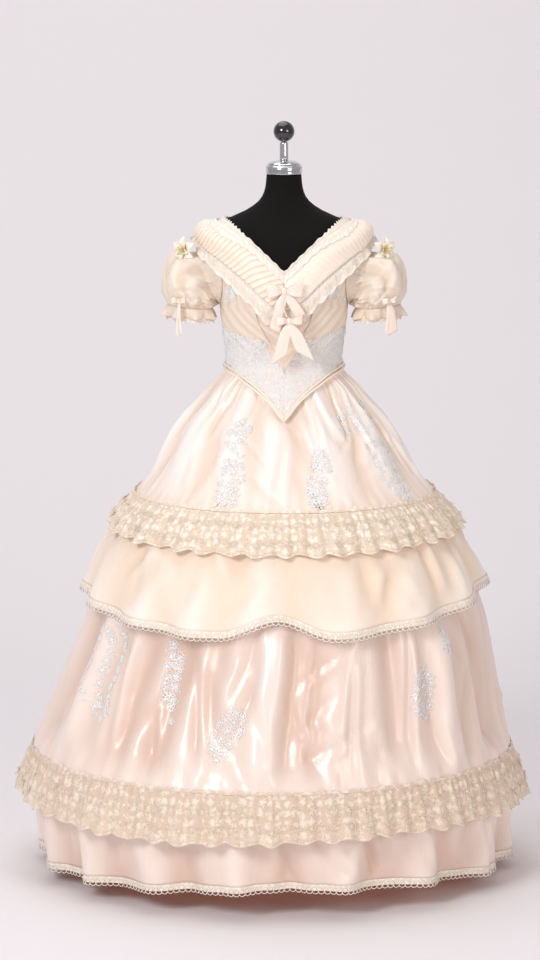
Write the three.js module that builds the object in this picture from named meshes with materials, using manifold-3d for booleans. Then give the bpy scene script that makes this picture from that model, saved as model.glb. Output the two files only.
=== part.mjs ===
// A tiered ball gown on a plain dress form. Millimetres, +Z up, the front of the gown faces -Y, and the
// origin lies on the floor under the form's pole. Angles run round the body in degrees from the centre
// front, positive towards +X. A piece of cloth is a grid of points with a wall built along its normals.
import * as THREE from 'three';
import { mergeVertices } from 'three/addons/utils/BufferGeometryUtils.js';
import Module from 'manifold-3d';

const wasm = await Module();
wasm.setup();

// ---------------------------------------------------------------- driving sizes
const SATIN = 1.6;
const LACE = 1.2;
const SEAM = 0.3;
const LAID_ON = 0.4;
const FORM_CLEARANCE = { waist: 4.2, above: 6.5 };

const WAIST = 1067;
const OVERSKIRT_HEM = 800.7;
const FLOUNCE_TOP = 800;
const UNDERSKIRT_TOP = 799.5;
const UNDERSKIRT_HEM = 262.7;
const HEM_FLOUNCE_TOP = 261.5;
const LOWER_LACE_TOP = 262;
const EDGE_LACE_WIDTH = 18;

const SHOULDER_TOP = 1369;
const ARMHOLE = { height: 1264, halfHeight: 64, halfAngle: 26 };
const CENTRE_PANEL = { bottom: 1080, top: 1337, halfAngle: 26, easing: 0.6 };

const BASE = { radius: 165, thickness: 14, bevel: 4 };
const POLE_RADIUS = 15;
const TORSO_BOTTOM = 850;
const NECK_TOP = 1467;
const NECK_CAP = { radius: 38, top: 1496 };
const ROD = { radius: 9, top: 1532.6 };
const BALL_RADIUS = 22;

// Outer face of the close-fitting cloth, by height: half width, and depth in front of and behind the axis.
const bodiceRows = [
  { z: 955, side: 224, front: 151, back: 226 },
  { z: 975, side: 208, front: 140, back: 205 },
  { z: 995, side: 189, front: 127, back: 183 },
  { z: 1012, side: 176, front: 119, back: 165 },
  { z: 1030, side: 163, front: 111.5, back: 148 },
  { z: 1053, side: 138, front: 103, back: 112 },
  { z: 1070, side: 120.5, front: 97.5, back: 95 },
  { z: 1096, side: 121, front: 100, back: 94 },
  { z: 1138, side: 126, front: 109, back: 96 },
  { z: 1168, side: 131, front: 117, back: 99 },
  { z: 1200, side: 134, front: 124, back: 102 },
  { z: 1240, side: 141, front: 128, back: 106 },
  { z: 1281, side: 148, front: 121, back: 109 },
  { z: 1310, side: 157, front: 109, back: 108 },
  { z: 1345, side: 171, front: 93, back: 103 },
  { z: 1362, side: 150, front: 80, back: 94 },
  { z: 1378, side: 124, front: 68, back: 82 },
  { z: 1390, side: 98, front: 60, back: 72 },
  { z: 1402, side: 74, front: 55, back: 64 },
  { z: 1422, side: 52, front: 49, back: 54 },
  { z: 1442, side: 45, front: 45, back: 48 },
  { z: NECK_TOP, side: 42.5, front: 43, back: 45 },
];

const hipRows = [
  { z: TORSO_BOTTOM, side: 138, front: 98, back: 112 },
  { z: 862, side: 152, front: 108, back: 124 },
  { z: 905, side: 154, front: 108, back: 126 },
  { z: 960, side: 145, front: 102, back: 118 },
  { z: 1020, side: 126, front: 97, back: 101 },
  { z: 1052, side: 120, front: 96.5, back: 95.5 },
];

const overskirtRows = [
  { z: 780, side: 331, front: 306, back: 331 },
  { z: 800, side: 315, front: 288, back: 316 },
  { z: 845, side: 277, front: 235, back: 280 },
  { z: 902, side: 243, front: 184, back: 245 },
  { z: 940, side: 222, front: 155, back: 222 },
  { z: 972, side: 199, front: 132, back: 197 },
  { z: 995, side: 178, front: 118.5, back: 173 },
  { z: 1030, side: 151, front: 104, back: 138 },
  { z: 1053, side: 127, front: 97.5, back: 104 },
  { z: WAIST, side: 118.2, front: 95.4, back: 92.8 },
];

const flounceRows = [
  { z: 540, side: 430, front: 428, back: 432 },
  { z: 600, side: 411, front: 407, back: 412 },
  { z: 650, side: 395, front: 386, back: 396 },
  { z: 700, side: 374, front: 361, back: 375 },
  { z: 750, side: 348, front: 329, back: 349 },
  { z: 800, side: 315, front: 288, back: 316 },
];

const upperLaceRows = [
  { z: 700, side: 385, front: 376, back: 386 },
  { z: 735, side: 366, front: 352, back: 367 },
  { z: 765, side: 348, front: 327, back: 349 },
  { z: 800, side: 317.2, front: 290.2, back: 318.2 },
];

const underskirtRows = [
  { z: 240, side: 512, front: 502, back: 518 },
  { z: 262, side: 506, front: 496, back: 512 },
  { z: 300, side: 494, front: 484, back: 500 },
  { z: 373, side: 471, front: 462, back: 476 },
  { z: 483, side: 440, front: 434, back: 443 },
  { z: 560, side: 416, front: 412, back: 418 },
  { z: 600, side: 401, front: 397, back: 402 },
  { z: 650, side: 383, front: 375, back: 384 },
  { z: 700, side: 361, front: 350, back: 362 },
  { z: 750, side: 336, front: 319, back: 337 },
  { z: 800, side: 312.6, front: 285.6, back: 313.6 },
];

const lowerLaceRows = [
  { z: 140, side: 538, front: 530, back: 545 },
  { z: 170, side: 531, front: 522, back: 537 },
  { z: 220, side: 520, front: 511, back: 526 },
  { z: 262, side: 508.4, front: 498.4, back: 514.4 },
];

const hemFlounceRows = [
  { z: 10, side: 502, front: 496, back: 508 },
  { z: 90, side: 503, front: 496, back: 509 },
  { z: 180, side: 505, front: 496, back: 511 },
  { z: 262, side: 506.2, front: 496.2, back: 512.2 },
];

// How far the skirt's centre sways towards -X, by height.
const swayRows = [
  { z: 0, sway: -16 },
  { z: 200, sway: -26 },
  { z: 300, sway: -24 },
  { z: 560, sway: 4 },
  { z: 800, sway: 3 },
  { z: 1000, sway: 0 },
];

// Heights of the edges that run round the body, by angle from the centre front.
const neckRows = [
  { angle: 0, z: 1269 },
  { angle: 17, z: 1312 },
  { angle: 26, z: CENTRE_PANEL.top },
  { angle: 39, z: 1354 },
  { angle: 60, z: 1367 },
  { angle: 90, z: 1372 },
  { angle: 115, z: 1368 },
  { angle: 140, z: 1357 },
  { angle: 180, z: 1342 },
];

const collarHemRows = [
  { angle: 0, z: 1198, stand: 13 },
  { angle: 12, z: 1214, stand: 12 },
  { angle: 30, z: 1252, stand: 11 },
  { angle: 45, z: 1281, stand: 12 },
  { angle: 67, z: 1316, stand: 13 },
  { angle: 90, z: 1341, stand: 13 },
  { angle: 115, z: 1327, stand: 12 },
  { angle: 140, z: 1300, stand: 11 },
  { angle: 180, z: 1284, stand: 10 },
];

const collarLaceHemRows = [
  { angle: 0, z: 1152, stand: 17 },
  { angle: 12, z: 1166, stand: 16 },
  { angle: 30, z: 1212, stand: 15 },
  { angle: 45, z: 1245, stand: 20 },
  { angle: 67, z: 1293, stand: 28 },
  { angle: 90, z: 1331, stand: 25 },
  { angle: 115, z: 1303, stand: 24 },
  { angle: 140, z: 1270, stand: 14 },
  { angle: 180, z: 1252, stand: 12 },
];

const basqueRows = [
  { angle: 0, z: 973 },
  { angle: 11, z: 1012 },
  { angle: 25, z: 1038 },
  { angle: 50, z: 1060 },
  { angle: 90, z: 1069.5 },
  { angle: 180, z: 1069.5 },
];

const flounceHemRows = [
  { angle: -180, z: 592 },
  { angle: -90, z: 588 },
  { angle: -45, z: 566 },
  { angle: -19, z: 557 },
  { angle: -3, z: 594 },
  { angle: 13, z: 560 },
  { angle: 40, z: 574 },
  { angle: 90, z: 606 },
  { angle: 180, z: 592 },
];

const hemRows = [
  { angle: -180, z: 20 },
  { angle: -90, z: 22 },
  { angle: -30, z: 42 },
  { angle: 0, z: 55 },
  { angle: 30, z: 50 },
  { angle: 90, z: 20 },
  { angle: 180, z: 20 },
];

// Rings of the puff sleeve on the +X side: its outermost point, its point under the arm, and half depth.
const sleeveRings = [
  { part: 0.2, outerX: 182, outerZ: 1304, innerX: 141, innerZ: 1203, depth: 53 },
  { part: 0.42, outerX: 231, outerZ: 1300, innerX: 139.5, innerZ: 1202, depth: 80 },
  { part: 0.64, outerX: 251, outerZ: 1266, innerX: 140, innerZ: 1198, depth: 83 },
  { part: 0.84, outerX: 256, outerZ: 1228, innerX: 142, innerZ: 1194, depth: 75 },
  { part: 1, outerX: 242, outerZ: 1198, innerX: 149, innerZ: 1189, depth: 54 },
];
const frillRings = [
  { part: 0, outerX: 242.3, outerZ: 1197.5, innerX: 148.7, innerZ: 1188.5, depth: 54.3 },
  { part: 1, outerX: 256, outerZ: 1180, innerX: 141, innerZ: 1172, depth: 64 },
];
const cuffLaceRings = [
  { part: 0, outerX: 240.3, outerZ: 1197, innerX: 150.7, innerZ: 1188, depth: 52.3 },
  { part: 1, outerX: 243, outerZ: 1165, innerX: 146, innerZ: 1158, depth: 56 },
];

// Deep folds of the lower satin skirt: where each lies, how wide and deep, its start and end as parts of
// the drop, and how far it drifts round on the way down.
const deepFolds = [
  { angle: -39, width: 9, depth: 20, start: 0.36, end: 1, drift: -4 },
  { angle: -29, width: 8, depth: 24, start: 0.4, end: 1, drift: -3 },
  { angle: -19, width: 9, depth: 16, start: 0.36, end: 0.95, drift: 2 },
  { angle: 8, width: 9, depth: 20, start: 0.4, end: 1, drift: 1 },
  { angle: 29, width: 10, depth: 14, start: 0.36, end: 0.95, drift: 5 },
  { angle: 66, width: 10, depth: 18, start: 0.4, end: 1, drift: 4 },
  { angle: -72, width: 9, depth: 18, start: 0.4, end: 1, drift: -4 },
  { angle: 112, width: 10, depth: 22, start: 0.36, end: 1, drift: 3 },
  { angle: 150, width: 10, depth: 18, start: 0.4, end: 1, drift: -3 },
  { angle: -118, width: 10, depth: 20, start: 0.36, end: 1, drift: -3 },
  { angle: -155, width: 10, depth: 22, start: 0.4, end: 1, drift: 3 },
];

// Lace sprays on the front of the skirt: middle, height, width and tilt as seen from the front.
const overskirtSprays = [
  { x: -96, z: 938, height: 62, width: 34, tilt: 24 },
  { x: -113, z: 842, height: 108, width: 50, tilt: 12 },
  { x: 70, z: 851, height: 116, width: 46, tilt: -3 },
  { x: 152, z: 962, height: 58, width: 62, tilt: -50 },
  { x: 222, z: 862, height: 150, width: 44, tilt: -33 },
];
const underskirtSprays = [
  { x: -368, z: 462, height: 190, width: 76, tilt: 9 },
  { x: -226, z: 460, height: 178, width: 30, tilt: 3 },
  { x: -118, z: 372, height: 116, width: 70, tilt: 24 },
  { x: 282, z: 428, height: 108, width: 58, tilt: -8 },
];

// ---------------------------------------------------------------- materials
const finish = (color, roughness, metalness = 0) =>
  new THREE.MeshStandardMaterial({ color, roughness, metalness, side: THREE.DoubleSide });
const material = {
  satin: finish('#f8e4d4', 0.35),
  pinkSatin: finish('#f1dcd4', 0.35),
  chiffon: finish('#f9e8d6', 0.8),
  organza: finish('#f6e3cf', 0.6),
  creamLace: finish('#ece0cb', 0.85),
  whiteLace: finish('#f4efe6', 0.85),
  jersey: finish('#1f1d1b', 0.9),
  chrome: finish('#c9c9cc', 0.15, 1),
  lacquer: finish('#17181a', 0.2),
  petal: finish('#f7f0dc', 0.7),
};

// ---------------------------------------------------------------- tables and curves
const radians = THREE.MathUtils.degToRad;
const { lerp, smoothstep, clamp } = THREE.MathUtils;
const spread = (from, to, steps) => Array.from({ length: steps + 1 }, (_, i) => lerp(from, to, i / steps));

// Reads a column of a table as a smooth curve that never overshoots its rows.
function read(rows, key, column, at) {
  const end = rows.length - 1;
  if (at <= rows[0][key]) return rows[0][column];
  if (at >= rows[end][key]) return rows[end][column];
  let i = 0;
  while (at > rows[i + 1][key]) i += 1;
  const run = (k) => rows[k + 1][key] - rows[k][key];
  const rise = (k) => (rows[k + 1][column] - rows[k][column]) / run(k);
  const slope = (k) => {
    if (k === 0) return rise(0);
    if (k === end) return rise(end - 1);
    const product = rise(k - 1) * rise(k);
    return product <= 0 ? 0 : (2 * product) / (rise(k - 1) + rise(k));
  };
  const t = (at - rows[i][key]) / run(i);
  const ahead = t * t * (3 - 2 * t);
  const bend = t * (1 - t) * run(i) * ((1 - t) * slope(i) - t * slope(i + 1));
  return lerp(rows[i][column], rows[i + 1][column], ahead) + bend;
}

// A point of a rounded section: `out` pushes it away from the axis.
function sectionPoint(rows, angle, z, out = 0) {
  const turn = radians(angle);
  const inFront = Math.cos(turn) > 0;
  const side = read(rows, 'z', 'side', z) + out;
  const depth = read(rows, 'z', inFront ? 'front' : 'back', z) + out;
  return new THREE.Vector3(side * Math.sin(turn), -depth * Math.cos(turn), z);
}

// An uneven row of soft waves round the skirt, from 0 in a valley to 1 on a crest.
function ripple(angle, count, phase) {
  const turn = radians(angle);
  const wander = 0.8 * Math.sin(2 * turn + phase) + 0.5 * Math.sin(5 * turn + 2 * phase);
  return 0.5 + 0.5 * Math.cos(count * turn + phase + wander);
}

const signed = (angle) => (angle > 180 ? angle - 360 : angle);
const bump = (offset) => Math.exp(-offset * offset * 3);

// ---------------------------------------------------------------- solids
function solidFrom(positions, triangles) {
  return new wasm.Manifold(new wasm.Mesh({
    numProp: 3,
    vertProperties: new Float32Array(positions),
    triVerts: new Uint32Array(triangles),
  }));
}

function solidOf(geometry) {
  geometry.deleteAttribute('normal');
  geometry.deleteAttribute('uv');
  const merged = mergeVertices(geometry, 1e-4);
  return solidFrom(merged.attributes.position.array, merged.index.array);
}

function geometryOf(solid) {
  const mesh = solid.getMesh();
  const geometry = new THREE.BufferGeometry();
  geometry.setAttribute('position', new THREE.BufferAttribute(mesh.vertProperties, 3));
  geometry.setIndex(new THREE.BufferAttribute(mesh.triVerts, 1));
  geometry.computeVertexNormals();
  return geometry;
}

// A grid of cloth points with unit normals. `across` runs round the body and `down` towards the hem.
// Open side edges are drawn in by half a seam. A mirrored grid has its normals turned to point outwards.
function clothGrid({ across, down, pointAt, ring = false, mirror = false, seams = true }) {
  const place = (a, d) => {
    const point = pointAt(a, d);
    if (mirror) point.x = -point.x;
    return point;
  };
  const last = across.length - 1;
  const before = (i) => (i > 0 ? across[i - 1] : 2 * across[0] - across[1]);
  const after = (i) => (i < last ? across[i + 1] : 2 * across[last] - across[last - 1]);
  const points = [];
  const normals = [];
  down.forEach((d, row) => {
    points.push([]);
    normals.push([]);
    across.forEach((a, column) => {
      const point = place(a, d);
      const along = place(after(column), d).sub(place(before(column), d)).normalize();
      const fall = place(a, down[Math.min(row + 1, down.length - 1)])
        .sub(place(a, down[Math.max(row - 1, 0)]));
      const normal = fall.cross(along).normalize();
      if (mirror) normal.negate();
      if (seams && !ring && column === 0) point.addScaledVector(along, SEAM / 2);
      if (seams && !ring && column === last) point.addScaledVector(along, -SEAM / 2);
      points[row].push(point);
      normals[row].push(normal);
    });
  });
  return { points, normals, across, down, ring, mirror };
}

// A wall on a grid, from `low` to `high` along the normals. `high` may be a function of across and down.
function wall(grid, low, high) {
  const rows = grid.points.length;
  const columns = grid.points[0].length;
  const positions = [];
  const triangles = [];
  const heightAt = typeof high === 'function' ? high : () => high;
  for (const layer of [1, 0]) {
    for (let r = 0; r < rows; r += 1) {
      for (let c = 0; c < columns; c += 1) {
        const lift = layer ? heightAt(grid.across[c], grid.down[r]) : low;
        const point = grid.points[r][c].clone().addScaledVector(grid.normals[r][c], lift);
        positions.push(point.x, point.y, point.z);
      }
    }
  }
  const outer = (r, c) => r * columns + (c % columns);
  const inner = (r, c) => rows * columns + outer(r, c);
  const face = (a, b, c, d) => {
    const corners = grid.mirror ? [a, b, d, b, c, d] : [a, d, b, b, d, c];
    triangles.push(...corners);
  };
  const spans = grid.ring ? columns : columns - 1;
  for (let r = 0; r < rows - 1; r += 1) {
    for (let c = 0; c < spans; c += 1) {
      face(outer(r, c), outer(r, c + 1), outer(r + 1, c + 1), outer(r + 1, c));
      face(inner(r, c), inner(r + 1, c), inner(r + 1, c + 1), inner(r, c + 1));
    }
  }
  for (let c = 0; c < spans; c += 1) {
    face(outer(0, c + 1), outer(0, c), inner(0, c), inner(0, c + 1));
    face(outer(rows - 1, c), outer(rows - 1, c + 1), inner(rows - 1, c + 1), inner(rows - 1, c));
  }
  if (!grid.ring) {
    const end = columns - 1;
    for (let r = 0; r < rows - 1; r += 1) {
      face(outer(r, 0), outer(r + 1, 0), inner(r + 1, 0), inner(r, 0));
      face(outer(r + 1, end), outer(r, end), inner(r, end), inner(r + 1, end));
    }
  }
  return solidFrom(positions, triangles);
}

// A whole body through rings of points, closed by a flat cap at each end.
function ringBody(rings) {
  const positions = [];
  const triangles = [];
  const count = rings[0].length;
  rings.flat().forEach((point) => positions.push(point.x, point.y, point.z));
  const at = (r, c) => r * count + (c % count);
  for (let r = 0; r < rings.length - 1; r += 1) {
    for (let c = 0; c < count; c += 1) {
      triangles.push(at(r, c), at(r, c + 1), at(r + 1, c + 1), at(r, c), at(r + 1, c + 1), at(r + 1, c));
    }
  }
  for (const [ring, upwards] of [[0, false], [rings.length - 1, true]]) {
    const centre = rings[ring].reduce((sum, p) => sum.add(p), new THREE.Vector3()).divideScalar(count);
    const middle = positions.length / 3;
    positions.push(centre.x, centre.y, centre.z);
    for (let c = 0; c < count; c += 1) {
      if (upwards) triangles.push(middle, at(ring, c), at(ring, c + 1));
      else triangles.push(middle, at(ring, c + 1), at(ring, c));
    }
  }
  return solidFrom(positions, triangles);
}

// A cord of round section along a closed path.
function cordLoop(path, radius, sides) {
  const count = path.length;
  const positions = [];
  const triangles = [];
  path.forEach((point, i) => {
    const along = path[(i + 1) % count].clone().sub(path[(i + count - 1) % count]).normalize();
    const outward = new THREE.Vector3(point.x, point.y, 0).normalize();
    const upward = outward.clone().cross(along).normalize();
    outward.copy(along).cross(upward).normalize();
    for (let s = 0; s < sides; s += 1) {
      const turn = (2 * Math.PI * s) / sides;
      const rim = point.clone()
        .addScaledVector(outward, radius * Math.cos(turn))
        .addScaledVector(upward, radius * Math.sin(turn));
      positions.push(rim.x, rim.y, rim.z);
    }
  });
  const at = (i, s) => (i % count) * sides + (s % sides);
  for (let i = 0; i < count; i += 1) {
    for (let s = 0; s < sides; s += 1) {
      triangles.push(at(i, s), at(i + 1, s), at(i + 1, s + 1), at(i, s), at(i + 1, s + 1), at(i, s + 1));
    }
  }
  return solidFrom(positions, triangles);
}

// A straight prism through the front of the gown, with its outline given from the front.
function frontPrism(outline, nearY = -700, farY = -20) {
  const shape = new THREE.Shape(outline.map((p) => new THREE.Vector2(p.x, p.z)));
  const geometry = new THREE.ExtrudeGeometry(shape, { depth: farY - nearY, bevelEnabled: false });
  geometry.rotateX(Math.PI / 2);
  geometry.translate(0, farY, 0);
  return solidOf(geometry);
}

const gown = new THREE.Group();
function addPart(name, solid, look) {
  const mesh = new THREE.Mesh(geometryOf(solid), look);
  mesh.name = name;
  gown.add(mesh);
  return solid;
}

// ---------------------------------------------------------------- dress form
const TORSO_SIDES = 18;
const roundAbout = (count) => spread(0, 360, count).slice(0, count);

function makeTorso() {
  const rows = [...hipRows, ...bodiceRows.filter((row) => row.z >= WAIST)];
  const heights = rows.map((row) => row.z);
  const isHip = (z) => z < WAIST;
  const grid = clothGrid({
    across: roundAbout(TORSO_SIDES),
    down: heights.slice().reverse(),
    ring: true,
    pointAt: (angle, z) => sectionPoint(isHip(z) ? hipRows : bodiceRows, angle, z),
  });
  const rings = grid.points.map((ring, r) => ring.map((point, c) => {
    const inset = lerp(FORM_CLEARANCE.waist, FORM_CLEARANCE.above, smoothstep(grid.down[r], 1080, 1110));
    const flat = grid.normals[r][c].clone();
    if (grid.down[r] === NECK_TOP) flat.z = 0;
    const moved = point.clone().addScaledVector(flat.normalize(), -inset);
    return grid.down[r] < WAIST ? point.clone().multiply(new THREE.Vector3(0.965, 0.955, 1)) : moved;
  }));
  return ringBody(rings.reverse());
}

function lathe(profile, segments) {
  const points = profile.map(([radius, z]) => new THREE.Vector2(radius, z));
  const geometry = new THREE.LatheGeometry(points, segments);
  geometry.rotateX(Math.PI / 2);
  return solidOf(geometry);
}

function makeForm() {
  const { radius, thickness, bevel } = BASE;
  const poleTop = TORSO_BOTTOM - SEAM;
  const ballCentre = ROD.top + SEAM + BALL_RADIUS;
  const ballArc = spread(0, 180, 8).map((turn) => [
    BALL_RADIUS * Math.sin(radians(turn)), ballCentre - BALL_RADIUS * Math.cos(radians(turn)),
  ]);
  addPart('form_base', lathe([
    [0, 0], [radius, 0], [radius, thickness - bevel], [radius - bevel, thickness], [0, thickness],
  ], 24), material.lacquer);
  addPart('form_pole', lathe([
    [0, thickness + SEAM], [POLE_RADIUS, thickness + SEAM], [POLE_RADIUS, poleTop], [0, poleTop],
  ], 16), material.chrome);
  addPart('form_torso', makeTorso(), material.jersey);
  addPart('form_neck_cap', lathe([
    [0, NECK_TOP + SEAM], [NECK_CAP.radius, NECK_TOP + SEAM], [NECK_CAP.radius, NECK_CAP.top - 12],
    [NECK_CAP.radius - 3, NECK_CAP.top - 5], [NECK_CAP.radius - 12, NECK_CAP.top], [0, NECK_CAP.top],
  ], 20), material.chrome);
  addPart('form_finial_rod', lathe([
    [0, NECK_CAP.top + SEAM], [ROD.radius, NECK_CAP.top + SEAM], [ROD.radius, ROD.top], [0, ROD.top],
  ], 16), material.chrome);
  addPart('form_ball', lathe(ballArc, 14), material.lacquer);
}

// ---------------------------------------------------------------- skirt
const swayed = (point) => {
  point.x += read(swayRows, 'z', 'sway', point.z);
  return point;
};
const front = (columns) => spread(-90, 90, columns / 2);
const back = (columns) => spread(90, 270, columns / 2);

// One tier: its sections, top and hem heights, and how far its folds push the cloth out or in.
function tierPoint(tier, angle, fall) {
  const z = lerp(tier.top, tier.hem(angle), fall);
  return swayed(sectionPoint(tier.rows, angle, z, tier.fold(angle, Math.min(fall, 1), z)));
}

const scallop = (angle, count, depth) => depth * (0.5 - 0.5 * Math.cos(count * radians(angle)));

const overskirt = {
  rows: overskirtRows,
  top: WAIST,
  hem: () => OVERSKIRT_HEM,
  columns: 52,
  falls: [0, 0.06, 0.2, 0.45, 1],
  fold(angle, fall, z) {
    const basque = bump(signed(angle) / 30) * smoothstep(z, 940, 985);
    const swell = Math.sin(Math.PI * clamp(fall * 1.02, 0, 1)) ** 0.8;
    return 13 * swell * (1 - 0.9 * basque) * ripple(angle, 13, 0.6) - 2 * swell;
  },
};

const upperLace = {
  rows: upperLaceRows,
  top: FLOUNCE_TOP,
  columns: 80,
  falls: [0, 1],
  hem: (angle) => 733 - 12 * Math.max(0, Math.cos(radians(angle))) - scallop(angle, 40, -7),
  fold: (angle, fall) => 11 * fall * ripple(angle, 16, 2.1),
};

const flounce = {
  rows: flounceRows,
  top: FLOUNCE_TOP,
  columns: 64,
  falls: [0, 0.5, 1],
  hem: (angle) => read(flounceHemRows, 'angle', 'z', signed(angle)) + EDGE_LACE_WIDTH,
  fold: (angle, fall) => 20 * fall ** 1.8 * ripple(angle, 16, 1.2),
};

const underskirt = {
  rows: underskirtRows,
  top: UNDERSKIRT_TOP,
  hem: () => UNDERSKIRT_HEM,
  columns: 60,
  falls: [0, 0.38, 0.58, 0.78, 1],
  fold(angle, fall) {
    const swell = Math.sin(Math.PI * fall) ** 0.7;
    const soft = -9 * swell * (1 - ripple(angle, 14, 2.4));
    return deepFolds.reduce((sum, row) => {
      const offset = signed(angle) - row.angle - row.drift * fall;
      const reach = smoothstep(fall, row.start - 0.1, row.start + 0.15)
        * (1 - smoothstep(fall, row.end - 0.12, row.end));
      return sum - row.depth * reach * bump(offset / row.width);
    }, soft);
  },
};

const lowerLace = {
  rows: lowerLaceRows,
  top: LOWER_LACE_TOP,
  columns: 108,
  falls: [0, 1],
  hem: (angle) => 164 + 6 * Math.sin(radians(3 * angle)) + scallop(angle, 54, 8),
  fold: (angle, fall) => 10 * fall * ripple(angle, 16, 0.3),
};

const hemFlounce = {
  rows: hemFlounceRows,
  top: HEM_FLOUNCE_TOP,
  columns: 64,
  falls: [0, 0.5, 1],
  hem: (angle) => read(hemRows, 'angle', 'z', signed(angle)) + EDGE_LACE_WIDTH,
  fold: (angle, fall) => -34 * fall ** 1.1 * (1 - ripple(angle, 16, 1.7)),
};

function tierGrid(tier, across, falls = tier.falls) {
  return clothGrid({ across, down: falls, pointAt: (angle, fall) => tierPoint(tier, angle, fall) });
}

function addTier(name, tier, thickness, look) {
  addPart(`${name}_front`, wall(tierGrid(tier, front(tier.columns)), -thickness, 0), look);
  addPart(`${name}_back`, wall(tierGrid(tier, back(tier.columns)), -thickness, 0), look);
}

// The narrow lace sewn under a flounce goes on from its hem with the same folds.
function edgeGrid(tier, across) {
  const pointAt = (angle, drop) => {
    const hem = tier.hem(angle);
    const z = hem - LAID_ON - drop * (EDGE_LACE_WIDTH - LAID_ON);
    return swayed(sectionPoint(tier.rows, angle, z, tier.fold(angle, 1, z)));
  };
  return clothGrid({ across, down: [0, 1], pointAt });
}

const EYELET = { halfWidth: 5, halfHeight: 4.2 };

// Hem lace with one diamond eyelet cut through each column of the grid.
function eyeletLace(tier, across) {
  const grid = edgeGrid(tier, across);
  const [top, bottom] = grid.points;
  const positions = [];
  const triangles = [];
  const columns = across.length;
  const put = (point) => positions.push(point.x, point.y, point.z) / 3 - 1;
  const layers = [0, -LACE].map((offset) => {
    const lifted = [top, bottom].map((row, r) => row.map((point, c) => (
      point.clone().addScaledVector(grid.normals[r][c], offset))));
    const corners = lifted.map((row) => row.map(put));
    const holes = spread(0, columns - 2, columns - 2).map((c) => {
      const [a, b, d, e] = [lifted[0][c], lifted[0][c + 1], lifted[1][c], lifted[1][c + 1]];
      const middle = a.clone().add(b).add(d).add(e).multiplyScalar(0.25);
      const along = b.clone().sub(a).normalize().multiplyScalar(EYELET.halfWidth);
      const fall = d.clone().sub(a).normalize().multiplyScalar(EYELET.halfHeight);
      return [fall.clone().negate(), along, fall, along.clone().negate()]
        .map((step) => put(middle.clone().add(step)));
    });
    return { corners, holes };
  });
  const add = (flip, ...corners) => triangles.push(...(flip ? corners.reverse() : corners));
  layers.forEach(({ corners, holes }, layer) => {
    holes.forEach(([north, east, south, west], c) => {
      const [a, b] = [corners[0][c], corners[0][c + 1]];
      const [d, e] = [corners[1][c], corners[1][c + 1]];
      const fan = [[a, north, b], [b, north, east], [b, east, e], [e, east, south],
        [e, south, d], [d, south, west], [d, west, a], [a, west, north]];
      fan.forEach((corner) => add(layer === 1, ...corner));
    });
  });
  const [outside, inside] = layers;
  const edge = (from, to, innerFrom, innerTo) => {
    triangles.push(from, to, innerTo, from, innerTo, innerFrom);
  };
  outside.holes.forEach((hole, c) => hole.forEach((corner, k) => {
    const next = (k + 1) % 4;
    edge(hole[next], corner, inside.holes[c][next], inside.holes[c][k]);
  }));
  for (let c = 0; c < columns - 1; c += 1) {
    edge(outside.corners[0][c], outside.corners[0][c + 1], inside.corners[0][c], inside.corners[0][c + 1]);
    edge(outside.corners[1][c + 1], outside.corners[1][c], inside.corners[1][c + 1], inside.corners[1][c]);
  }
  const end = columns - 1;
  edge(outside.corners[1][0], outside.corners[0][0], inside.corners[1][0], inside.corners[0][0]);
  edge(outside.corners[0][end], outside.corners[1][end], inside.corners[0][end], inside.corners[1][end]);
  return solidFrom(positions, triangles);
}

function makeSkirt() {
  addTier('skirt_overskirt', overskirt, SATIN, material.satin);
  addTier('skirt_upper_lace', upperLace, LACE, material.creamLace);
  addTier('skirt_flounce', flounce, SATIN, material.chiffon);
  addTier('skirt_underskirt', underskirt, SATIN, material.pinkSatin);
  addTier('skirt_lower_lace', lowerLace, LACE, material.creamLace);
  addTier('skirt_hem_flounce', hemFlounce, SATIN, material.pinkSatin);
  for (const [half, across] of [['front', front], ['back', back]]) {
    const upper = edgeGrid(flounce, across(flounce.columns));
    addPart(`skirt_flounce_edge_${half}`, wall(upper, -LACE, 0), material.whiteLace);
    addPart(`skirt_hem_edge_${half}`, eyeletLace(hemFlounce, across(hemFlounce.columns)), material.whiteLace);
  }
}

// A leafy spray outline with soft lobes.
function sprayOutline({ x, z, height, width, tilt }, points = 10) {
  const turn = radians(tilt);
  return Array.from({ length: points }, (_, i) => {
    const t = (2 * Math.PI * i) / points;
    const lobe = i % 2 ? 0.84 : 1.06;
    const across = 0.5 * width * lobe * Math.sin(t);
    const up = 0.5 * height * lobe * Math.cos(t);
    return {
      x: x + across * Math.cos(turn) + up * Math.sin(turn),
      z: z - across * Math.sin(turn) + up * Math.cos(turn),
    };
  });
}

function addSprays(name, tier, sprays) {
  const layer = wall(tierGrid(tier, front(tier.columns)), LAID_ON, LAID_ON + LACE);
  sprays.forEach((spray, i) => {
    const outline = sprayOutline(spray);
    addPart(`${name}_${i + 1}`, layer.intersect(frontPrism(outline)), material.whiteLace);
  });
}

// ---------------------------------------------------------------- bodice
const neckAngleAt = (z) => {
  const half = neckRows.filter((row) => row.angle <= 90);
  return read(half, 'z', 'angle', z);
};
const backNeckAngleAt = (z) => {
  const half = neckRows.filter((row) => row.angle >= 90).reverse();
  return read(half, 'z', 'angle', z);
};

const centreEdgeRows = [
  { z: CENTRE_PANEL.bottom, angle: 1.5 },
  { z: 1200, angle: CENTRE_PANEL.halfAngle },
  { z: CENTRE_PANEL.top, angle: CENTRE_PANEL.halfAngle },
];

// How far round the armhole's edge lies from the side, at a height.
function armholeSpan(z, margin = 0) {
  const level = (z - ARMHOLE.height) / (ARMHOLE.halfHeight + margin);
  if (Math.abs(level) >= 1) return 0;
  return (ARMHOLE.halfAngle + margin / 2.2) * Math.sqrt(1 - level * level);
}

const TUCK = { count: 6, depth: 1.6 };

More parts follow.
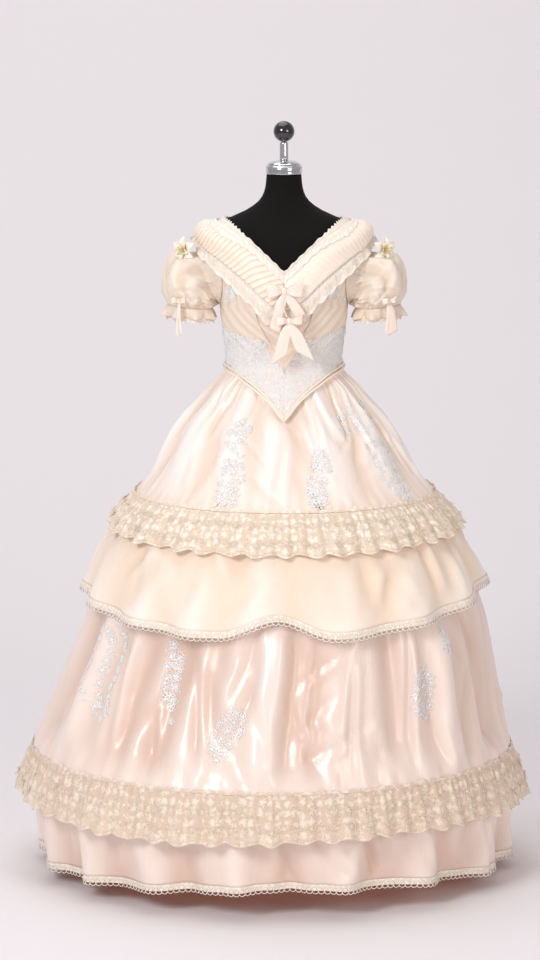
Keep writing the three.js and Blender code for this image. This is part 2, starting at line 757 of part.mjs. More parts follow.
function centrePanel() {
  const columns = spread(-1, 1, 4);
  const rows = spread(1, 0, TUCK.count * 2);
  const pointAt = (u, v) => {
    const edge = lerp(CENTRE_PANEL.bottom, CENTRE_PANEL.top, v);
    const angle = u * (read(centreEdgeRows, 'z', 'angle', edge) - CENTRE_PANEL.easing);
    const top = read(neckRows, 'angle', 'z', Math.abs(u) * CENTRE_PANEL.halfAngle);
    return sectionPoint(bodiceRows, angle, lerp(CENTRE_PANEL.bottom, top, v));
  };
  const grid = clothGrid({ across: columns, down: rows, pointAt });
  return wall(grid, -SATIN, (u, v) => TUCK.depth * (0.5 + 0.5 * Math.cos(2 * Math.PI * TUCK.count * v)));
}

const sideFrontHeights = [
  0, 0.3, 1100, 1130, 1165, 1200, 1211, 1238, 1274, 1308, 1328, CENTRE_PANEL.top, 1354, SHOULDER_TOP,
];

// The side front runs from the centre to the side seam. Below the waist rows its edge is the basque.
function sideFrontGrid(mirror) {
  const down = sideFrontHeights.slice().reverse();
  const pointAt = (u, level) => {
    const height = level > 1 ? level : null;
    const zAt = (angle) => {
      const hem = read(basqueRows, 'angle', 'z', Math.abs(angle));
      return height ?? lerp(hem, 1090, level / 0.4);
    };
    const above = height ?? 1085;
    const inner = above > CENTRE_PANEL.top
      ? neckAngleAt(above)
      : read(centreEdgeRows, 'z', 'angle', above);
    const angle = lerp(level > 1 ? inner : 0, 90 - armholeSpan(above), u);
    return sectionPoint(bodiceRows, angle, zAt(angle));
  };
  return clothGrid({ across: sideFrontColumns, down, pointAt, mirror });
}

const sideFrontColumns = [0, 0.12, 0.28, 0.46, 0.64, 0.82, 1];

// Drawn folds slope from the side of the bust down to the centre.
function drapeFold(u, level) {
  const z = level > 1 ? level : 1080;
  const slope = z - 95 * u;
  const reach = smoothstep(z, 1098, 1120) * (1 - smoothstep(z, 1290, 1330));
  return 2.4 * reach * (0.5 + 0.5 * Math.cos((2 * Math.PI * slope) / 34)) * (1 - 0.8 * u * u);
}

function backGrid(mirror) {
  const heights = [WAIST + 2.5, 1110, 1160, 1200, 1211, 1238, 1274, 1308, 1328, 1345, 1357, SHOULDER_TOP];
  const pointAt = (u, z) => {
    const nape = z > 1342 ? backNeckAngleAt(z) : 180;
    return sectionPoint(bodiceRows, lerp(90 + armholeSpan(z), nape, u), z);
  };
  return clothGrid({ across: spread(0, 1, 5), down: heights.slice().reverse(), pointAt, mirror });
}

const basqueLaceTop = [
  { x: -4, z: 1068 }, { x: 18, z: 1090 }, { x: 48, z: 1132 }, { x: 90, z: 1138 }, { x: 140, z: 1152 },
];

// The lace ends just above the piping on the basque's edge.
function basqueLaceHem() {
  const edge = basqueRows.filter((row) => row.angle <= 90).reverse().map((row) => {
    const z = row.z + 5.6;
    return { x: sectionPoint(bodiceRows, row.angle, z).x, z };
  });
  return [{ x: 140, z: edge[0].z }, ...edge, { x: -4, z: edge.at(-1).z }];
}

function makeBodice() {
  addPart('bodice_centre_front', centrePanel(), material.chiffon);
  for (const [side, mirror] of [['right', false], ['left', true]]) {
    const grid = sideFrontGrid(mirror);
    addPart(`bodice_side_front_${side}`, wall(grid, -SATIN, drapeFold), material.chiffon);
    addPart(`bodice_back_${side}`, wall(backGrid(mirror), -SATIN, 0), material.chiffon);
    const layer = wallOn(grid, drapeFold);
    const flip = mirror ? -1 : 1;
    const band = [...basqueLaceTop, ...basqueLaceHem()];
    const shape = band.map((p) => ({ x: p.x * flip, z: p.z }));
    addPart(`bodice_basque_lace_${side}`, layer.intersect(frontPrism(shape, -400, 0.5)), material.whiteLace);
    const bust = { x: 104 * flip, z: 1240, height: 46, width: 30, tilt: -38 * flip };
    addPart(`bodice_bust_applique_${side}`, layer.intersect(frontPrism(sprayOutline(bust))), material.whiteLace);
  }
  addPiping();
}

// A thin layer over a wall whose outer face is raised.
function wallOn(grid, raised) {
  const lifted = {
    ...grid,
    points: grid.points.map((row, r) => row.map((point, c) => point.clone()
      .addScaledVector(grid.normals[r][c], raised(grid.across[c], grid.down[r])))),
  };
  return wall(lifted, LAID_ON, LAID_ON + LACE);
}

const PIPING = { radius: 2.4, sides: 4, steps: 32 };

function addPiping() {
  const out = PIPING.radius + 1.8;
  [2.2, -3.1].forEach((above, row) => {
    const path = roundAbout(PIPING.steps).map((angle) => {
      const z = read(basqueRows, 'angle', 'z', Math.abs(signed(angle))) + above;
      return sectionPoint(bodiceRows, angle, z, out + (row ? 0.6 : 0));
    });
    addPart(`bodice_piping_${row ? 'lower' : 'upper'}`, cordLoop(path, PIPING.radius, PIPING.sides), material.satin);
  });
}

// ---------------------------------------------------------------- collar
const COLLAR_PLEATS = 24;
const PLEAT_DEPTH = 3.2;
const PLEAT_SWING = 27;
const COLLAR_START = 2;
const LACE_UNDER_COLLAR = 4;

// A point that stands off the bodice's surface along its normal.
function liftedPoint(angle, z, lift) {
  const base = sectionPoint(bodiceRows, angle, z);
  const above = sectionPoint(bodiceRows, angle, z + 1);
  const beside = sectionPoint(bodiceRows, angle + 0.5, z);
  const normal = base.clone().sub(above).cross(beside.sub(base)).normalize();
  return base.addScaledVector(normal, lift);
}

// A pleat leaves the neckline square to it, so it swings round the body on its way down.
function collarPoint(angle, part) {
  const turning = Math.tanh(angle / 8) * Math.cos(radians(angle) / 2) ** 2;
  const at = angle + PLEAT_SWING * turning * part;
  const top = read(neckRows, 'angle', 'z', at) - 2;
  const hem = read(collarHemRows, 'angle', 'z', at);
  const stand = read(collarHemRows, 'angle', 'stand', at);
  return liftedPoint(at, lerp(top, hem, part), lerp(COLLAR_START, stand, smoothstep(part, 0, 0.5)));
}

// Knife pleats: each one rises sharply and slopes back down to the next.
const pleatColumns = Array.from({ length: COLLAR_PLEATS }, (_, i) => [i, i + 0.82])
  .flat().toSpliced(0, 1, 0.02, 0.4).concat(COLLAR_PLEATS).map((step) => (180 * step) / COLLAR_PLEATS);

function pleatLift(angle, part) {
  const turn = ((angle / 180) * COLLAR_PLEATS) % 1;
  const place = turn > 0.999 ? 0 : turn;
  return PLEAT_DEPTH * (0.35 + 0.65 * part) * (1 - place / 0.82 * 0.9);
}

function makeCollar() {
  const fat = [];
  for (const [side, mirror] of [['right', false], ['left', true]]) {
    const grid = clothGrid({
      across: pleatColumns,
      down: [0, 0.5, 1],
      pointAt: collarPoint,
      mirror,
    });
    addPart(`collar_bertha_${side}`, wall(grid, 0, (a, p) => 1.2 + pleatLift(a, p)), material.satin);
    const swollen = clothGrid({
      across: [-0.5, 0, ...pleatColumns.slice(1)],
      down: [0, 0.5, 1],
      pointAt: collarPoint,
      mirror,
      seams: false,
    });
    fat.push(wall(swollen, -LAID_ON, (a, p) => 1.2 + LAID_ON + pleatLift(a, p)));
    const laceGrid = clothGrid({
      across: spread(0, 180, 32),
      down: [0, 1],
      pointAt: collarLacePoint,
      mirror,
    });
    addPart(`collar_lace_${side}`, wall(laceGrid, -LACE, 0), material.whiteLace);
    fat.push(wall(laceGrid, -LACE - LAID_ON, LAID_ON));
    const neckGrid = clothGrid({
      across: [0, 13, 26, 39, 52, 67, 82, 97, 115, 132, 150, 165, 180],
      down: [8, 2.2],
      pointAt: (angle, rise) => sectionPoint(bodiceRows, angle, read(neckRows, 'angle', 'z', angle) + rise),
      mirror,
    });
    addPart(`collar_neck_lace_${side}`, wall(neckGrid, -LACE - 0.4, -0.4), material.whiteLace);
  }
  return fat;
}

// The lace starts just inside the collar's hem and hangs below it.
function collarLacePoint(angle, part) {
  const row = (rows, column) => read(rows, 'angle', column, Math.abs(angle));
  const start = lerp(row(neckRows, 'z') - 2, row(collarHemRows, 'z'), 0.95);
  const z = lerp(start, row(collarLaceHemRows, 'z'), part);
  const under = row(collarHemRows, 'stand') - LACE_UNDER_COLLAR;
  return liftedPoint(angle, z, lerp(under, row(collarLaceHemRows, 'stand'), part));
}

// ---------------------------------------------------------------- sleeves
const SLEEVE_GATHERS = 8;

function ringPoint(ring, turn, out) {
  const middle = new THREE.Vector3((ring.outerX + ring.innerX) / 2, -5, (ring.outerZ + ring.innerZ) / 2);
  const reach = new THREE.Vector3(ring.outerX, -5, ring.outerZ).sub(middle);
  const size = reach.length();
  reach.multiplyScalar(((size + out) / size) * Math.cos(turn));
  return middle.add(reach).add(new THREE.Vector3(0, (ring.depth + out) * Math.sin(turn), 0));
}

function tableRing(rings, part, turn, out) {
  const columns = ['outerX', 'outerZ', 'innerX', 'innerZ', 'depth'];
  const ring = Object.fromEntries(columns.map((column) => [column, read(rings, 'part', column, part)]));
  return ringPoint(ring, turn, out);
}

function sleevePoint(turnDegrees, part) {
  const turn = radians(turnDegrees);
  if (part === 0) {
    const z = ARMHOLE.height + (ARMHOLE.halfHeight + 3) * Math.cos(turn);
    const angle = 90 + (ARMHOLE.halfAngle + 2) * Math.sin(turn);
    return sectionPoint(bodiceRows, angle, z, SATIN + 0.6);
  }
  const swell = Math.sin(Math.PI * part) * 4;
  return tableRing(sleeveRings, part, turn, swell * Math.cos(SLEEVE_GATHERS * turn));
}

function ruffleGrid(rings, count, depth, mirror) {
  const pointAt = (turn, part) => tableRing(
    rings, part, radians(turn), depth * part * Math.cos(count * radians(turn)),
  );
  return clothGrid({ across: roundAbout(count * 3), down: [0, 1], pointAt, ring: true, mirror });
}

function makeSleeves() {
  const solids = {};
  for (const [side, mirror] of [['right', false], ['left', true]]) {
    const grid = clothGrid({
      across: roundAbout(24),
      down: [0, 0.2, 0.45, 0.72, 1],
      pointAt: sleevePoint,
      ring: true,
      mirror,
    });
    addPart(`sleeve_puff_${side}`, wall(grid, -1.2, 0), material.organza);
    const frill = ruffleGrid(frillRings, 8, 4, mirror);
    addPart(`sleeve_frill_${side}`, wall(frill, -1, 0), material.organza);
    const lace = ruffleGrid(cuffLaceRings, 6, 0, mirror);
    addPart(`sleeve_lace_${side}`, wall(lace, -LACE, 0), material.whiteLace);
    solids[side] = wall(grid, -1.2 - LAID_ON, LAID_ON);
  }
  return solids;
}

// ---------------------------------------------------------------- bows and flowers
// A strip of ribbon through a few points of its middle line; `across` is the direction of its width.
function ribbon(path, widths, across, thickness = 1.2) {
  const curve = new THREE.CatmullRomCurve3(path);
  const parts = spread(0, 1, path.length - 1);
  const halfAt = (t) => {
    const at = t * (widths.length - 1);
    const i = Math.min(Math.floor(at), widths.length - 2);
    return lerp(widths[i], widths[i + 1], at - i) / 2;
  };
  const grid = clothGrid({
    across: [-1, 1],
    down: parts,
    seams: false,
    pointAt: (s, t) => curve.getPoint(t).addScaledVector(across, s * halfAt(t)),
  });
  return wall(grid, -thickness / 2, thickness / 2);
}

function knot(radiusX, radiusY, radiusZ) {
  const geometry = new THREE.SphereGeometry(1, 6, 4);
  geometry.scale(radiusX, radiusY, radiusZ);
  return solidOf(geometry);
}

const vector = (x, y, z) => new THREE.Vector3(x, y, z);

// A bow in its own frame: width along X, front towards -Y, knot at the origin.
function bow({ loopLength, loopHeight, tails }) {
  const pieces = [knot(6, 5.5, 7)];
  for (const side of [-1, 1]) {
    const path = [
      vector(side * 2, -1, 0), vector(side * loopLength * 0.55, -8, 1),
      vector(side * loopLength, -3, 2), vector(side * loopLength * 0.6, 2.5, 1), vector(side * 2, 2, 0),
    ];
    pieces.push(ribbon(path, [5, loopHeight, loopHeight * 1.05, loopHeight, 5], vector(0, 0, 1)));
  }
  for (const tail of tails) {
    const path = [
      vector(0, 0, -1), vector(tail.x * 0.45, -3, -tail.length * 0.4), vector(tail.x, -1, -tail.length),
    ];
    pieces.push(ribbon(path, [5, tail.width, tail.width * 1.1], vector(1, 0, 0)));
  }
  return wasm.Manifold.union(pieces);
}

function moved(solid, [x, y, z], turnZ = 0) {
  const mesh = solid.getMesh();
  const geometry = new THREE.BufferGeometry();
  geometry.setAttribute('position', new THREE.BufferAttribute(mesh.vertProperties.slice(), 3));
  geometry.setIndex(new THREE.BufferAttribute(mesh.triVerts.slice(), 1));
  geometry.rotateZ(radians(turnZ));
  geometry.translate(x, y, z);
  return solidFrom(geometry.attributes.position.array, geometry.index.array);
}

const largest = (solid) => solid.decompose().sort((a, b) => b.volume() - a.volume())[0];

function makeBows(collarSolids, sleeveSolids) {
  const cutter = wasm.Manifold.union(collarSolids);
  const upper = bow({
    loopLength: 34, loopHeight: 30, tails: [{ x: -12, length: 82, width: 24 }, { x: 28, length: 54, width: 26 }],
  });
  addPart('bow_upper', largest(moved(upper, [0, -145.5, 1239]).subtract(cutter)), material.satin);
  const lower = bow({
    loopLength: 26, loopHeight: 18, tails: [{ x: -14, length: 84, width: 26 }, { x: 22, length: 76, width: 30 }],
  });
  addPart('bow_lower', largest(moved(lower, [10, -151.8, 1178]).subtract(cutter)), material.satin);
  const cuffBow = bow({
    loopLength: 15, loopHeight: 13, tails: [{ x: -5, length: 74, width: 16 }, { x: 7, length: 70, width: 20 }],
  });
  for (const [side, flip] of [['right', 1], ['left', -1]]) {
    const placed = moved(cuffBow, [217 * flip, -74, 1212], 28 * flip);
    addPart(`sleeve_bow_${side}`, largest(placed.subtract(sleeveSolids[side])), material.satin);
  }
}

function flower() {
  const pieces = [knot(5, 5, 5)];
  const petals = 5;
  for (let i = 0; i < petals; i += 1) {
    const turn = (2 * Math.PI * i) / petals;
    const outward = vector(Math.cos(turn), 0, Math.sin(turn));
    const path = [
      outward.clone().multiplyScalar(2), outward.clone().multiplyScalar(13).add(vector(0, -6, 0)),
      outward.clone().multiplyScalar(26).add(vector(0, -4, 0)),
    ];
    pieces.push(ribbon(path, [4, 13, 3], vector(-Math.sin(turn), 0, Math.cos(turn))));
  }
  return wasm.Manifold.union(pieces);
}

function makeFlowers(collarSolids, sleeveSolids) {
  const cutter = wasm.Manifold.union(collarSolids);
  for (const [side, flip] of [['right', 1], ['left', -1]]) {
    const placed = moved(flower(), [206 * flip, -38, 1313], 38 * flip);
    const cut = placed.subtract(cutter).subtract(sleeveSolids[side]);
    addPart(`sleeve_flower_${side}`, largest(cut), material.petal);
  }
}

makeForm();
makeSkirt();
addSprays('spray_overskirt', overskirt, overskirtSprays);
addSprays('spray_underskirt', underskirt, underskirtSprays);
makeBodice();
const collarSolids = makeCollar();
const sleeveSolids = makeSleeves();
makeBows(collarSolids, sleeveSolids);
makeFlowers(collarSolids, sleeveSolids);

export default gown;
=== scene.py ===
# %% [markdown]
# # A tiered ball gown on its dress form
# The gown is a stack of soft cones: a satin overskirt, a plain flounce, a pink satin skirt and a hem flounce,
# with a lace ruffle or edging where they meet. It could be draped with a cloth simulation, but its tiers are
# held out by a hoop and their folds are known. So each one is made as a grid of points from a table of
# sections, which keeps it where the frame's solid is. This file loads that frame, then builds tools, finishes
# and pieces.

# %% Load the frame
import math

import bmesh
import bpy
import numpy as np
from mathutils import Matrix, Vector


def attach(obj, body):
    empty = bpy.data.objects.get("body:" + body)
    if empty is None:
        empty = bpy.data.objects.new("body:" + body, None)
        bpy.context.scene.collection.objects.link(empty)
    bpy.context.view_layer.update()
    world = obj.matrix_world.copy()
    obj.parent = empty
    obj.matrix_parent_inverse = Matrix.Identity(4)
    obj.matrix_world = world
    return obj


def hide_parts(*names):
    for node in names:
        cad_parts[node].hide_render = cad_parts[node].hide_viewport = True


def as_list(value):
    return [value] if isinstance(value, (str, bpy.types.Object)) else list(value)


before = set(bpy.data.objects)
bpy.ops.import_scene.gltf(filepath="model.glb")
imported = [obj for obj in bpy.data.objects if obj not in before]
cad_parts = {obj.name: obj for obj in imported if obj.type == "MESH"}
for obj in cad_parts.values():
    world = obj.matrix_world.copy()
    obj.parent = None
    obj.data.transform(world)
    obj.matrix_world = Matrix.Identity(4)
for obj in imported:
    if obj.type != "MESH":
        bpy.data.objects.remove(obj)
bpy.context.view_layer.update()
MM = 0.001

# %% [markdown]
# ## Camera, floor and light
# A full-length dress is best seen from far off with a long lens, so that its waist and hem keep their true
# proportions. The studio is a white sweep: a floor that curves up into a wall. Its paper is seen through from
# the far side, so that the back of the gown shows too. A large soft box stands near the lens, a weaker one on
# the other side and a broad one hangs overhead. A faint warm lamp glows under the hem.

# %% Camera
AIM = Vector((-0.029, 0.0, 0.824))
CAMERA_DISTANCE, CAMERA_ELEVATION = 8.95, math.radians(9)
LENS_MM, SENSOR_MM = 160, 36


def new_object(name, data):
    """Puts a camera, a lamp or a mesh into the scene."""
    made = bpy.data.objects.new(name, data)
    bpy.context.scene.collection.objects.link(made)
    return made


camera = new_object("camera", bpy.data.cameras.new("camera"))
camera.data.lens = LENS_MM
camera.data.sensor_width = SENSOR_MM
back_off = Vector((0, -math.cos(CAMERA_ELEVATION), math.sin(CAMERA_ELEVATION)))
camera.location = AIM + CAMERA_DISTANCE * back_off
camera.rotation_euler = (-back_off).to_track_quat("-Z", "Y").to_euler()
bpy.context.scene.camera = camera
bpy.context.scene.view_settings.view_transform = "Standard"
print("camera at", tuple(round(v, 3) for v in camera.location))


# %% Helpers for colour and nodes
def hex_colour(code):
    """An sRGB hex colour as linear values for a shader."""
    channels = [int(code[i:i + 2], 16) / 255 for i in (1, 3, 5)]
    linear = [c / 12.92 if c <= 0.04045 else ((c + 0.055) / 1.055) ** 2.4 for c in channels]
    return (*linear, 1.0)


def set_inputs(tree, node, inputs):
    """Sets or links a node's inputs, each given by its name or number."""
    for key, value in inputs.items():
        if isinstance(key, int):
            socket = node.inputs[key]
        else:
            socket = next(s for s in node.inputs if s.name == key and s.enabled)
        if isinstance(value, bpy.types.NodeSocket):
            tree.links.new(value, socket)
        else:
            socket.default_value = value


def add_node(tree, kind, inputs=None, **settings):
    """Adds a node, sets its properties, and sets or links its inputs."""
    made = tree.nodes.new(kind)
    for key, value in settings.items():
        setattr(made, key, value)
    set_inputs(tree, made, inputs or {})
    return made


def new_finish(name, roughness):
    """A material, with its tree and its main shader."""
    finish = bpy.data.materials.new(name)
    finish.use_nodes = True
    shader = finish.node_tree.nodes["Principled BSDF"]
    shader.inputs["Roughness"].default_value = roughness
    return finish, finish.node_tree, shader


# %% Sweep
SWEEP_CURVE, SWEEP_HALF_WIDTH, CURVE_STEPS = 1.6, 30.0, 12
FLOOR_FRONT, FLOOR_MIDDLE, WALL_AT, WALL_TOP = -40.0, -4.0, 3.4, 7.0


def make_sweep():
    """The floor and wall as one curved sheet of paper, a wall from the gown's side alone."""
    bend = WALL_AT - SWEEP_CURVE
    profile = [(FLOOR_FRONT, 0.0), (FLOOR_MIDDLE, 0.0), (bend, 0.0)]
    for i in range(1, CURVE_STEPS + 1):
        turn = math.radians(90 * i / CURVE_STEPS)
        profile.append((bend + SWEEP_CURVE * math.sin(turn), SWEEP_CURVE - SWEEP_CURVE * math.cos(turn)))
    profile.append((WALL_AT, WALL_TOP))
    points = [(x, y, z) for y, z in profile for x in (-SWEEP_HALF_WIDTH, SWEEP_HALF_WIDTH)]
    faces = [(2 * i, 2 * i + 1, 2 * i + 3, 2 * i + 2) for i in range(len(profile) - 1)]
    mesh = bpy.data.meshes.new("studio_sweep")
    mesh.from_pydata(points, [], faces)
    mesh.polygons.foreach_set("use_smooth", [True] * len(faces))
    paper, tree, shader = new_finish("white studio paper", 0.9)
    shader.inputs["Base Color"].default_value = hex_colour("#f1eef0")
    side = add_node(tree, "ShaderNodeNewGeometry")
    through = add_node(tree, "ShaderNodeBsdfTransparent")
    one_way = add_node(tree, "ShaderNodeMixShader", {
        0: side.outputs["Backfacing"], 1: shader.outputs[0], 2: through.outputs[0],
    })
    tree.links.new(one_way.outputs[0], tree.nodes["Material Output"].inputs["Surface"])
    mesh.materials.append(paper)
    sweep = new_object("studio_sweep", mesh)


make_sweep()
print("sweep: a wall", WALL_AT, "m behind the gown")


# %% Lights
def add_light(name, place, facing, size, power, tint):
    """A square soft box that faces the gown's axis at a height."""
    data = bpy.data.lights.new(name, "AREA")
    data.size, data.energy, data.color = size, power, hex_colour(tint)[:3]
    lamp = new_object(name, data)
    lamp.location = place
    lamp.rotation_euler = (Vector((0, 0, facing)) - Vector(place)).to_track_quat("-Z", "Y").to_euler()


LIGHTS = [
    # name, place, height that it faces, size, power, tint
    ("key_soft_box", (-2.5, -4.4, 3.3), 0.85, 1.5, 140, "#fcfcff"),
    ("fill_soft_box", (3.2, -4.4, 2.3), 0.85, 1.8, 60, "#fff5f0"),
    ("top_soft_box", (-0.5, 0.4, 4.6), 0.85, 3.4, 56, "#fdfcff"),
    ("bounce_under_the_hem", (0, 0, 0.2), 0.0, 0.7, 0.3, "#ff9a7a"),
]
for row in LIGHTS:
    add_light(*row)
world = bpy.data.worlds.new("studio")
world.use_nodes = True
set_inputs(world.node_tree, world.node_tree.nodes["Background"], {
    "Color": hex_colour("#f6f2f2"), "Strength": 0.46,
})
bpy.context.scene.world = world
print("lights:", len(LIGHTS))

# %% [markdown]
# ## Sections and folds
# A dressmaker thinks of a skirt as sections: at each height, so wide and so deep. The tables below say just
# that, in millimetres. Between two rows a smooth curve is read that never overshoots, and a soft row of waves
# is added for the folds. NumPy reads a whole grid of points at once, which is far quicker than a loop.


# %% Reading tables
def read(rows, at, column=1):
    """A column of a table as a smooth curve over its first column, which never overshoots its rows."""
    keys = np.array([row[0] for row in rows], float)
    values = np.array([row[column] for row in rows], float)
    run = np.diff(keys)
    rise = np.diff(values) / run
    product = rise[:-1] * rise[1:]
    total = np.where(product > 0, rise[:-1] + rise[1:], 1.0)
    inner = np.where(product > 0, 2 * product / total, 0.0)
    slope = np.concatenate([[rise[0]], inner, [rise[-1]]])
    at = np.clip(np.asarray(at, float), keys[0], keys[-1])
    i = np.clip(np.searchsorted(keys, at, side="right") - 1, 0, len(run) - 1)
    t = (at - keys[i]) / run[i]
    ahead = t * t * (3 - 2 * t)
    bend = t * (1 - t) * run[i] * ((1 - t) * slope[i] - t * slope[i + 1])
    return values[i] + (values[i + 1] - values[i]) * ahead + bend


def unit(vectors):
    """Vectors scaled to a length of 1."""
    return vectors / np.maximum(np.linalg.norm(vectors, axis=-1, keepdims=True), 1e-9)


def steps_along(points, axis):
    """The distances between neighbours in a line or a grid of points."""
    return np.linalg.norm(np.diff(points, axis=axis), axis=-1)


def smooth(value, low, high):
    """0 below low, 1 above high, and an even curve between."""
    t = np.clip((np.asarray(value, float) - low) / (high - low), 0, 1)
    return t * t * (3 - 2 * t)


def mix(a, b, t):
    return a + (b - a) * t


def bump(offset):
    return np.exp(-3 * offset * offset)


def signed(angle):
    """An angle round the body, from -180 to 180."""
    return (np.asarray(angle, float) + 180) % 360 - 180


def ripple(angle, count, phase):
    """An uneven row of soft waves round the skirt, from 0 in a valley to 1 on a crest."""
    turn = np.radians(angle)
    wander = 0.8 * np.sin(2 * turn + phase) + 0.5 * np.sin(5 * turn + 2 * phase)
    return 0.5 + 0.5 * np.cos(count * turn + phase + wander)


# columns of the tables of sections, and of the tables of hems
SIDE, FRONT, BACK, STAND = 1, 2, 3, 2


def section(rows, angle, z, out=0.0):
    """A point of a rounded section, in millimetres. `out` pushes it away from the axis."""
    angle, z, out = np.broadcast_arrays(np.asarray(angle, float), z, out)
    turn = np.radians(angle)
    depth = np.where(np.cos(turn) > 0, read(rows, z, FRONT), read(rows, z, BACK)) + out
    side = read(rows, z, SIDE) + out
    return np.stack([side * np.sin(turn), -depth * np.cos(turn), z], axis=-1)


print("a wave 30 degrees round:", round(float(ripple(30, 13, 0.6)), 3))

# %% Sizes of the gown
WAIST, OVERSKIRT_HEM, FLOUNCE_TOP, UNDERSKIRT_TOP = 1067.0, 800.7, 800.0, 799.5
UNDERSKIRT_HEM, HEM_FLOUNCE_TOP, LOWER_LACE_TOP = 262.7, 261.5, 262.0
EDGE_LACE_WIDTH = 18.0

# height, half width, depth in front, depth behind
bodice_rows = [
    (955, 224, 151, 226), (975, 208, 140, 205), (995, 189, 127, 183), (1012, 176, 119, 165),
    (1030, 163, 111.5, 148), (1053, 138, 103, 112), (1070, 120.5, 97.5, 95), (1096, 121, 100, 94),
    (1138, 126, 109, 96), (1168, 131, 117, 99), (1200, 134, 124, 102), (1240, 141, 128, 106),
    (1281, 148, 121, 109), (1310, 157, 109, 108), (1345, 171, 93, 103), (1362, 150, 80, 94),
    (1378, 124, 68, 82), (1390, 98, 60, 72), (1402, 74, 55, 64), (1422, 52, 49, 54),
    (1442, 45, 45, 48), (1467, 42.5, 43, 45),
]
hip_rows = [
    (850, 133.2, 93.6, 107), (862, 146.7, 103.1, 118.4), (905, 148.6, 103.1, 120.3),
    (960, 139.9, 97.4, 112.7), (1020, 121.6, 92.6, 96.5), (1052, 115.8, 92.2, 91.2),
]
overskirt_rows = [
    (780, 331, 306, 331), (800, 315, 288, 316), (845, 277, 235, 280), (902, 243, 184, 245),
    (940, 222, 155, 222), (972, 199, 132, 197), (995, 178, 118.5, 173), (1030, 151, 104, 138),
    (1053, 127, 97.5, 104), (1067, 118.2, 95.4, 92.8),
]
flounce_rows = [
    (540, 430, 428, 432), (600, 411, 407, 412), (650, 395, 386, 396), (700, 374, 361, 375),
    (750, 348, 329, 349), (800, 315, 288, 316),
]
upper_lace_rows = [
    (700, 385, 376, 386), (735, 366, 352, 367), (765, 348, 327, 349), (800, 317.2, 290.2, 318.2),
]
underskirt_rows = [
    (240, 512, 502, 518), (262, 506, 496, 512), (300, 494, 484, 500), (373, 471, 462, 476),
    (483, 440, 434, 443), (560, 416, 412, 418), (600, 401, 397, 402), (650, 383, 375, 384),
    (700, 361, 350, 362), (750, 336, 319, 337), (800, 312.6, 285.6, 313.6),
]
lower_lace_rows = [
    (140, 538, 530, 545), (170, 531, 522, 537), (220, 520, 511, 526), (262, 508.4, 498.4, 514.4),
]
hem_flounce_rows = [
    (10, 502, 496, 508), (90, 503, 496, 509), (180, 505, 496, 511), (262, 506.2, 496.2, 512.2),
]
# height, shift of the skirt's middle towards +X
sway_rows = [(0, -16), (200, -26), (300, -24), (560, 4), (800, 3), (1000, 0)]
# angle, height
neck_rows = [
    (0, 1269), (17, 1312), (26, 1337), (39, 1354), (60, 1367), (90, 1372), (115, 1368), (140, 1357),
    (180, 1342),
]
basque_rows = [(0, 973), (11, 1012), (25, 1038), (50, 1060), (90, 1069.5), (180, 1069.5)]
flounce_hem_rows = [
    (-180, 592), (-90, 588), (-45, 566), (-19, 557), (-3, 594), (13, 560), (40, 574), (90, 606),
    (180, 592),
]
hem_rows = [(-180, 20), (-90, 22), (-30, 42), (0, 55), (30, 50), (90, 20), (180, 20)]
# angle, height, how far the hem stands off the bodice
collar_hem_rows = [
    (0, 1198, 13), (12, 1214, 12), (30, 1252, 11), (45, 1281, 12), (67, 1316, 13), (90, 1341, 13),
    (115, 1327, 12), (140, 1300, 11), (180, 1284, 10),
]
collar_lace_hem_rows = [
    (0, 1152, 17), (12, 1166, 16), (30, 1212, 15), (45, 1245, 20), (67, 1293, 28), (90, 1331, 25),
    (115, 1303, 24), (140, 1270, 14), (180, 1252, 12),
]
# angle, width, depth, start and end as parts of the drop, drift round on the way down
deep_folds = [
    (-39, 9, 20, 0.36, 1, -4), (-29, 8, 24, 0.4, 1, -3), (-19, 9, 16, 0.36, 0.95, 2),
    (8, 9, 20, 0.4, 1, 1), (29, 10, 14, 0.36, 0.95, 5), (66, 10, 18, 0.4, 1, 4),
    (-72, 9, 18, 0.4, 1, -4), (112, 10, 22, 0.36, 1, 3), (150, 10, 18, 0.4, 1, -3),
    (-118, 10, 20, 0.36, 1, -3), (-155, 10, 22, 0.4, 1, 3),
]
print("tables:", len(bodice_rows), "rows for the bodice,", len(underskirt_rows), "for the lower skirt")

# %% [markdown]
# ## Cloth from a grid
# Every panel is a grid: its rows run down the cloth and its columns run round the body. The UV map is laid
# out in metres of real cloth, so that a weave or a lace pattern keeps one scale and gathers bunch it as they
# do on the real thing. A Solidify modifier gives the wall its thickness and is applied at once.


# %% Making a sheet
MIRRORED = np.array([-1.0, 1.0, 1.0])


def mesh_of(name, points, faces):
    """A smooth mesh from points in millimetres."""
    mesh = bpy.data.meshes.new(name)
    mesh.from_pydata((np.asarray(points, float) * MM).tolist(), [], faces)
    mesh.polygons.foreach_set("use_smooth", [True] * len(mesh.polygons))
    return mesh


def write_mesh(shape, mesh, outwards=False):
    """Writes a bmesh into a mesh and frees it. With `outwards`, its faces are turned out first."""
    if outwards:
        bmesh.ops.recalc_face_normals(shape, faces=shape.faces)
    shape.to_mesh(mesh)
    shape.free()
    return mesh


def grid_normals(points, ring=False):
    """Unit normals of a grid whose rows go down and whose columns go towards +X in front."""
    down = np.gradient(points, axis=0)
    if ring:
        along = np.roll(points, -1, axis=1) - np.roll(points, 1, axis=1)
    else:
        along = np.gradient(points, axis=1)
    return unit(np.cross(down, along))


